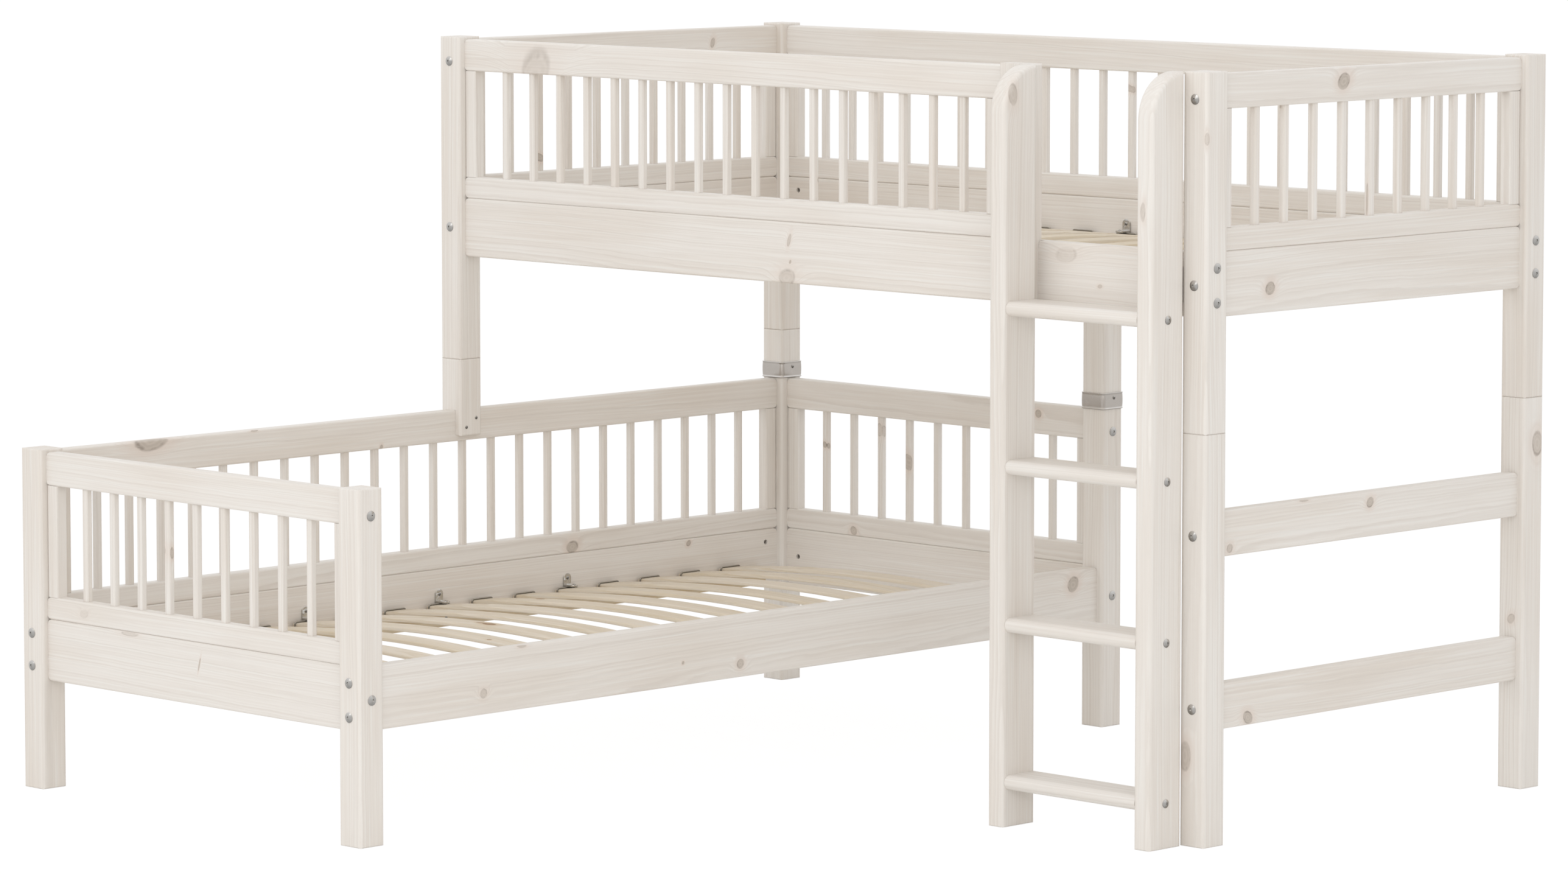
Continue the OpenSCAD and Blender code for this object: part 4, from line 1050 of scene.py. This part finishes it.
@dataclass
class SlatBase:
    """Slats, ledgers, clips and brackets of both beds."""

    joinery: Joinery
    bracket_edge: float = 1.3        # rounding of a bracket's edges, in mm
    weld: float = 0.01               # mm between corners that are one
    flat_angle: float = 3.0          # degrees between two parts of one face
    sharp_angle: float = 40.0        # and between two faces that meet in an edge

    def dress(self) -> None:
        """Dresses the wood and the fittings of the slatted bases."""
        for node, grain, along in (("low_slats", Axis.X, Axis.Y), ("high_slats", Axis.Y, Axis.X)):
            off = SLAT_SHIFT if along is Axis.X else -SLAT_SHIFT
            self.joinery.timber(node, SLAT_PINE, grain=grain, wide=along, pith=(20.0, -60.0),
                                share=0.05, repeat=Repeat(along, SLAT_PITCH, off))
        self.joinery.timber("slat_ledgers", LEDGER_PINE, grain=Axis.Y, wide=Axis.Z, pith=(40.0, 50.0),
                            turned_above=700.0)
        dress_node("slat_clips", WIRE.material())
        self.form_brackets()

    def form_brackets(self) -> None:
        """Builds the brackets with rounded edges, as plated steel has, in place of the square ones."""
        mesh = bmesh.new()
        mesh.from_mesh(NODES["slat_brackets"].data)
        bmesh.ops.remove_doubles(mesh, verts=mesh.verts, dist=self.weld * MM)
        bmesh.ops.dissolve_limit(mesh, angle_limit=math.radians(self.flat_angle), verts=mesh.verts,
                                 edges=mesh.edges)
        sharp = [e for e in mesh.edges
                 if e.is_manifold and e.calc_face_angle(0.0) > math.radians(self.sharp_angle)]
        bmesh.ops.bevel(mesh, geom=sharp, offset=self.bracket_edge * MM, segments=3, profile=0.5,
                        affect="EDGES", clamp_overlap=True)
        place_formed(mesh, "slat_brackets", CHROME)


@dataclass
class Fasteners:
    """Bolts, nuts, screws and dowels."""

    joinery: Joinery

    def dress(self) -> None:
        """Dresses the fasteners."""
        nickel = NICKEL.material()
        dress_node("bed_bolts", nickel)
        dress_node("ladder_bolts", nickel)
        dress_node("barrel_nuts", TURNED.material())
        dress_node("small_screws", PHOSPHATED.material())
        self.joinery.timber("joint_dowels", BEECH, grain=Axis.Z, wide=Axis.X, pith=(30.0, 30.0),
                            share=0.0)


# ---------------- studio

@dataclass(frozen=True)
class Lamp:
    """A soft box.

    Args:
        name: Its name.
        at: Its place in metres.
        aim: The point that it shines at.
        size: Its width and height in metres.
        power: Its power in watts.
    """

    name: str
    at: tuple[float, float, float]
    aim: tuple[float, float, float]
    size: tuple[float, float]
    power: float


@dataclass
class Studio:
    """Camera, lamps, floor and surroundings."""

    image: tuple[int, int] = (2576, 1434)  # the photograph's size in pixels
    optical_row: float = 490.2  # the row that the lens looks straight along
    lens: float = 142.5  # mm, on a 36 mm wide sensor
    sensor: float = 36.0
    eye: tuple[float, float, float] = (8.5105, -8.5087, 2.0067)
    azimuth: float = 44.986  # degrees from +Y towards +X
    pitch: float = 4.975  # degrees below level
    floor_half: float = 40.0
    surround: float = 0.85  # light of the surroundings
    floor_paint: str = "#F4F3F1"
    floor_glow: float = 0.9  # share of plain white in the floor's look
    floor_white: float = 1.05  # strength of that white
    lamps: tuple[Lamp, ...] = (
        Lamp("front_box", (-1.5, -7.5, 4.5), (0.0, 0.0, 0.6), (5.0, 4.0), 76.0),
        Lamp("near_box", (5.5, -5.0, 2.6), (0.0, 0.0, 0.7), (5.0, 4.0), 90.0),
        Lamp("top_box", (0.0, 0.0, 6.5), (0.0, 0.2, 0.5), (6.0, 6.0), 42.0),
    )

    def build(self) -> None:
        """Sets up the whole studio."""
        self.place_camera()
        self.hang_lamps()
        self.lay_floor()
        self.paint_surroundings()
        bpy.context.scene.view_settings.view_transform = "Standard"

    def place_camera(self) -> None:
        """Puts the camera where the photograph was taken from."""
        data = bpy.data.cameras.new("camera")
        data.lens = self.lens
        data.sensor_width = self.sensor
        data.shift_y = (self.optical_row - self.image[1] / 2) / self.image[0]
        data.clip_start = 0.1
        data.clip_end = 200.0
        camera = put("camera", data)
        camera.location = self.eye
        camera.rotation_euler = (math.radians(90 - self.pitch), 0.0, math.radians(self.azimuth))
        bpy.context.scene.camera = camera

    def hang_lamps(self) -> None:
        """Hangs the soft boxes."""
        for lamp in self.lamps:
            data = bpy.data.lights.new(lamp.name, "AREA")
            data.shape = "RECTANGLE"
            data.size, data.size_y = lamp.size
            data.energy = lamp.power
            light = put(lamp.name, data)
            light.location = lamp.at
            way = Vector(lamp.aim) - Vector(lamp.at)
            light.rotation_euler = way.to_track_quat("-Z", "Y").to_euler()

    def looked_at(self, add: Nodes) -> Socket:
        """Tells the rays that show a thing from those that light it.

        Args:
            add: Adds the nodes of a material or of the surroundings.

        Returns:
            1 for a ray from the camera, straight or by way of metal or glass, and otherwise 0.
        """
        path = add("LightPath", out="Is Camera Ray").node
        seen = add("MAXIMUM", [path.outputs["Is Camera Ray"], path.outputs["Is Glossy Ray"]])
        return add("MAXIMUM", [seen, path.outputs["Is Transmission Ray"]])

    def lay_floor(self) -> None:
        """Lays a pale matt floor that keeps the bed's shadow."""
        data = bpy.data.meshes.new("studio_floor")
        h = self.floor_half
        data.from_pydata([(-h, -h, 0), (h, -h, 0), (h, h, 0), (-h, h, 0)], [], [(0, 1, 2, 3)])
        floor = put("studio_floor", data)
        material = bpy.data.materials.new("pale_matt_floor")
        add = fresh_nodes(material)
        paint = add("BsdfDiffuse", {"Color": linear(self.floor_paint)})
        white = add("Emission", {"Color": (1.0, 1.0, 1.0, 1.0), "Strength": self.floor_white})
        share = add("MULTIPLY", [self.looked_at(add), self.floor_glow])
        add("OutputMaterial", [add("MixShader", [share, paint, white])])
        data.materials.append(material)

    def paint_surroundings(self) -> None:
        """Paints the surroundings white and lets them light the bed softly."""
        world = bpy.data.worlds.new("studio_surroundings")
        add = fresh_nodes(world)
        strength = add("MapRange", [self.looked_at(add), 0.0, 1.0, self.surround, 1.0])
        sky = add("Background", {"Color": (1.0, 1.0, 1.0, 1.0), "Strength": strength})
        add("OutputWorld", [sky])
        bpy.context.scene.world = world


# ---------------- making

def main() -> None:
    """Builds and dresses the bed in order."""
    logging.basicConfig(level=logging.INFO, format="%(name)s: %(message)s")
    grain = PineGrain()
    grain.build()
    joinery = Joinery(WoodShop(grain))
    Studio().build()
    BedFrame(joinery, "low",
             boards=("low_side_board_left", "low_side_board_right", "low_end_board_front",
                     "low_end_board_back"),
             guards={"low_left": Repeat(Axis.Y, SIDE_PITCH),
                     "low_front": Repeat(Axis.X, END_PITCH, LOW_X),
                     "low_back": Repeat(Axis.X, END_PITCH, LOW_X)}).dress()
    BedFrame(joinery, "high",
             boards=("high_side_board_front", "high_side_board_back", "high_end_board_left",
                     "high_end_board_right"),
             guards={"high_back": Repeat(Axis.X, SIDE_PITCH),
                     "high_left": Repeat(Axis.Y, END_PITCH, HIGH_Y),
                     "high_right": Repeat(Axis.Y, END_PITCH, HIGH_Y),
                     "high_front": Repeat(Axis.X, SIDE_PITCH, FRONT_START)}).dress()
    Supports(joinery).dress()
    Ladder(joinery).dress()
    SlatBase(joinery).dress()
    Fasteners(joinery).dress()


if __name__ == "__main__":
    main()
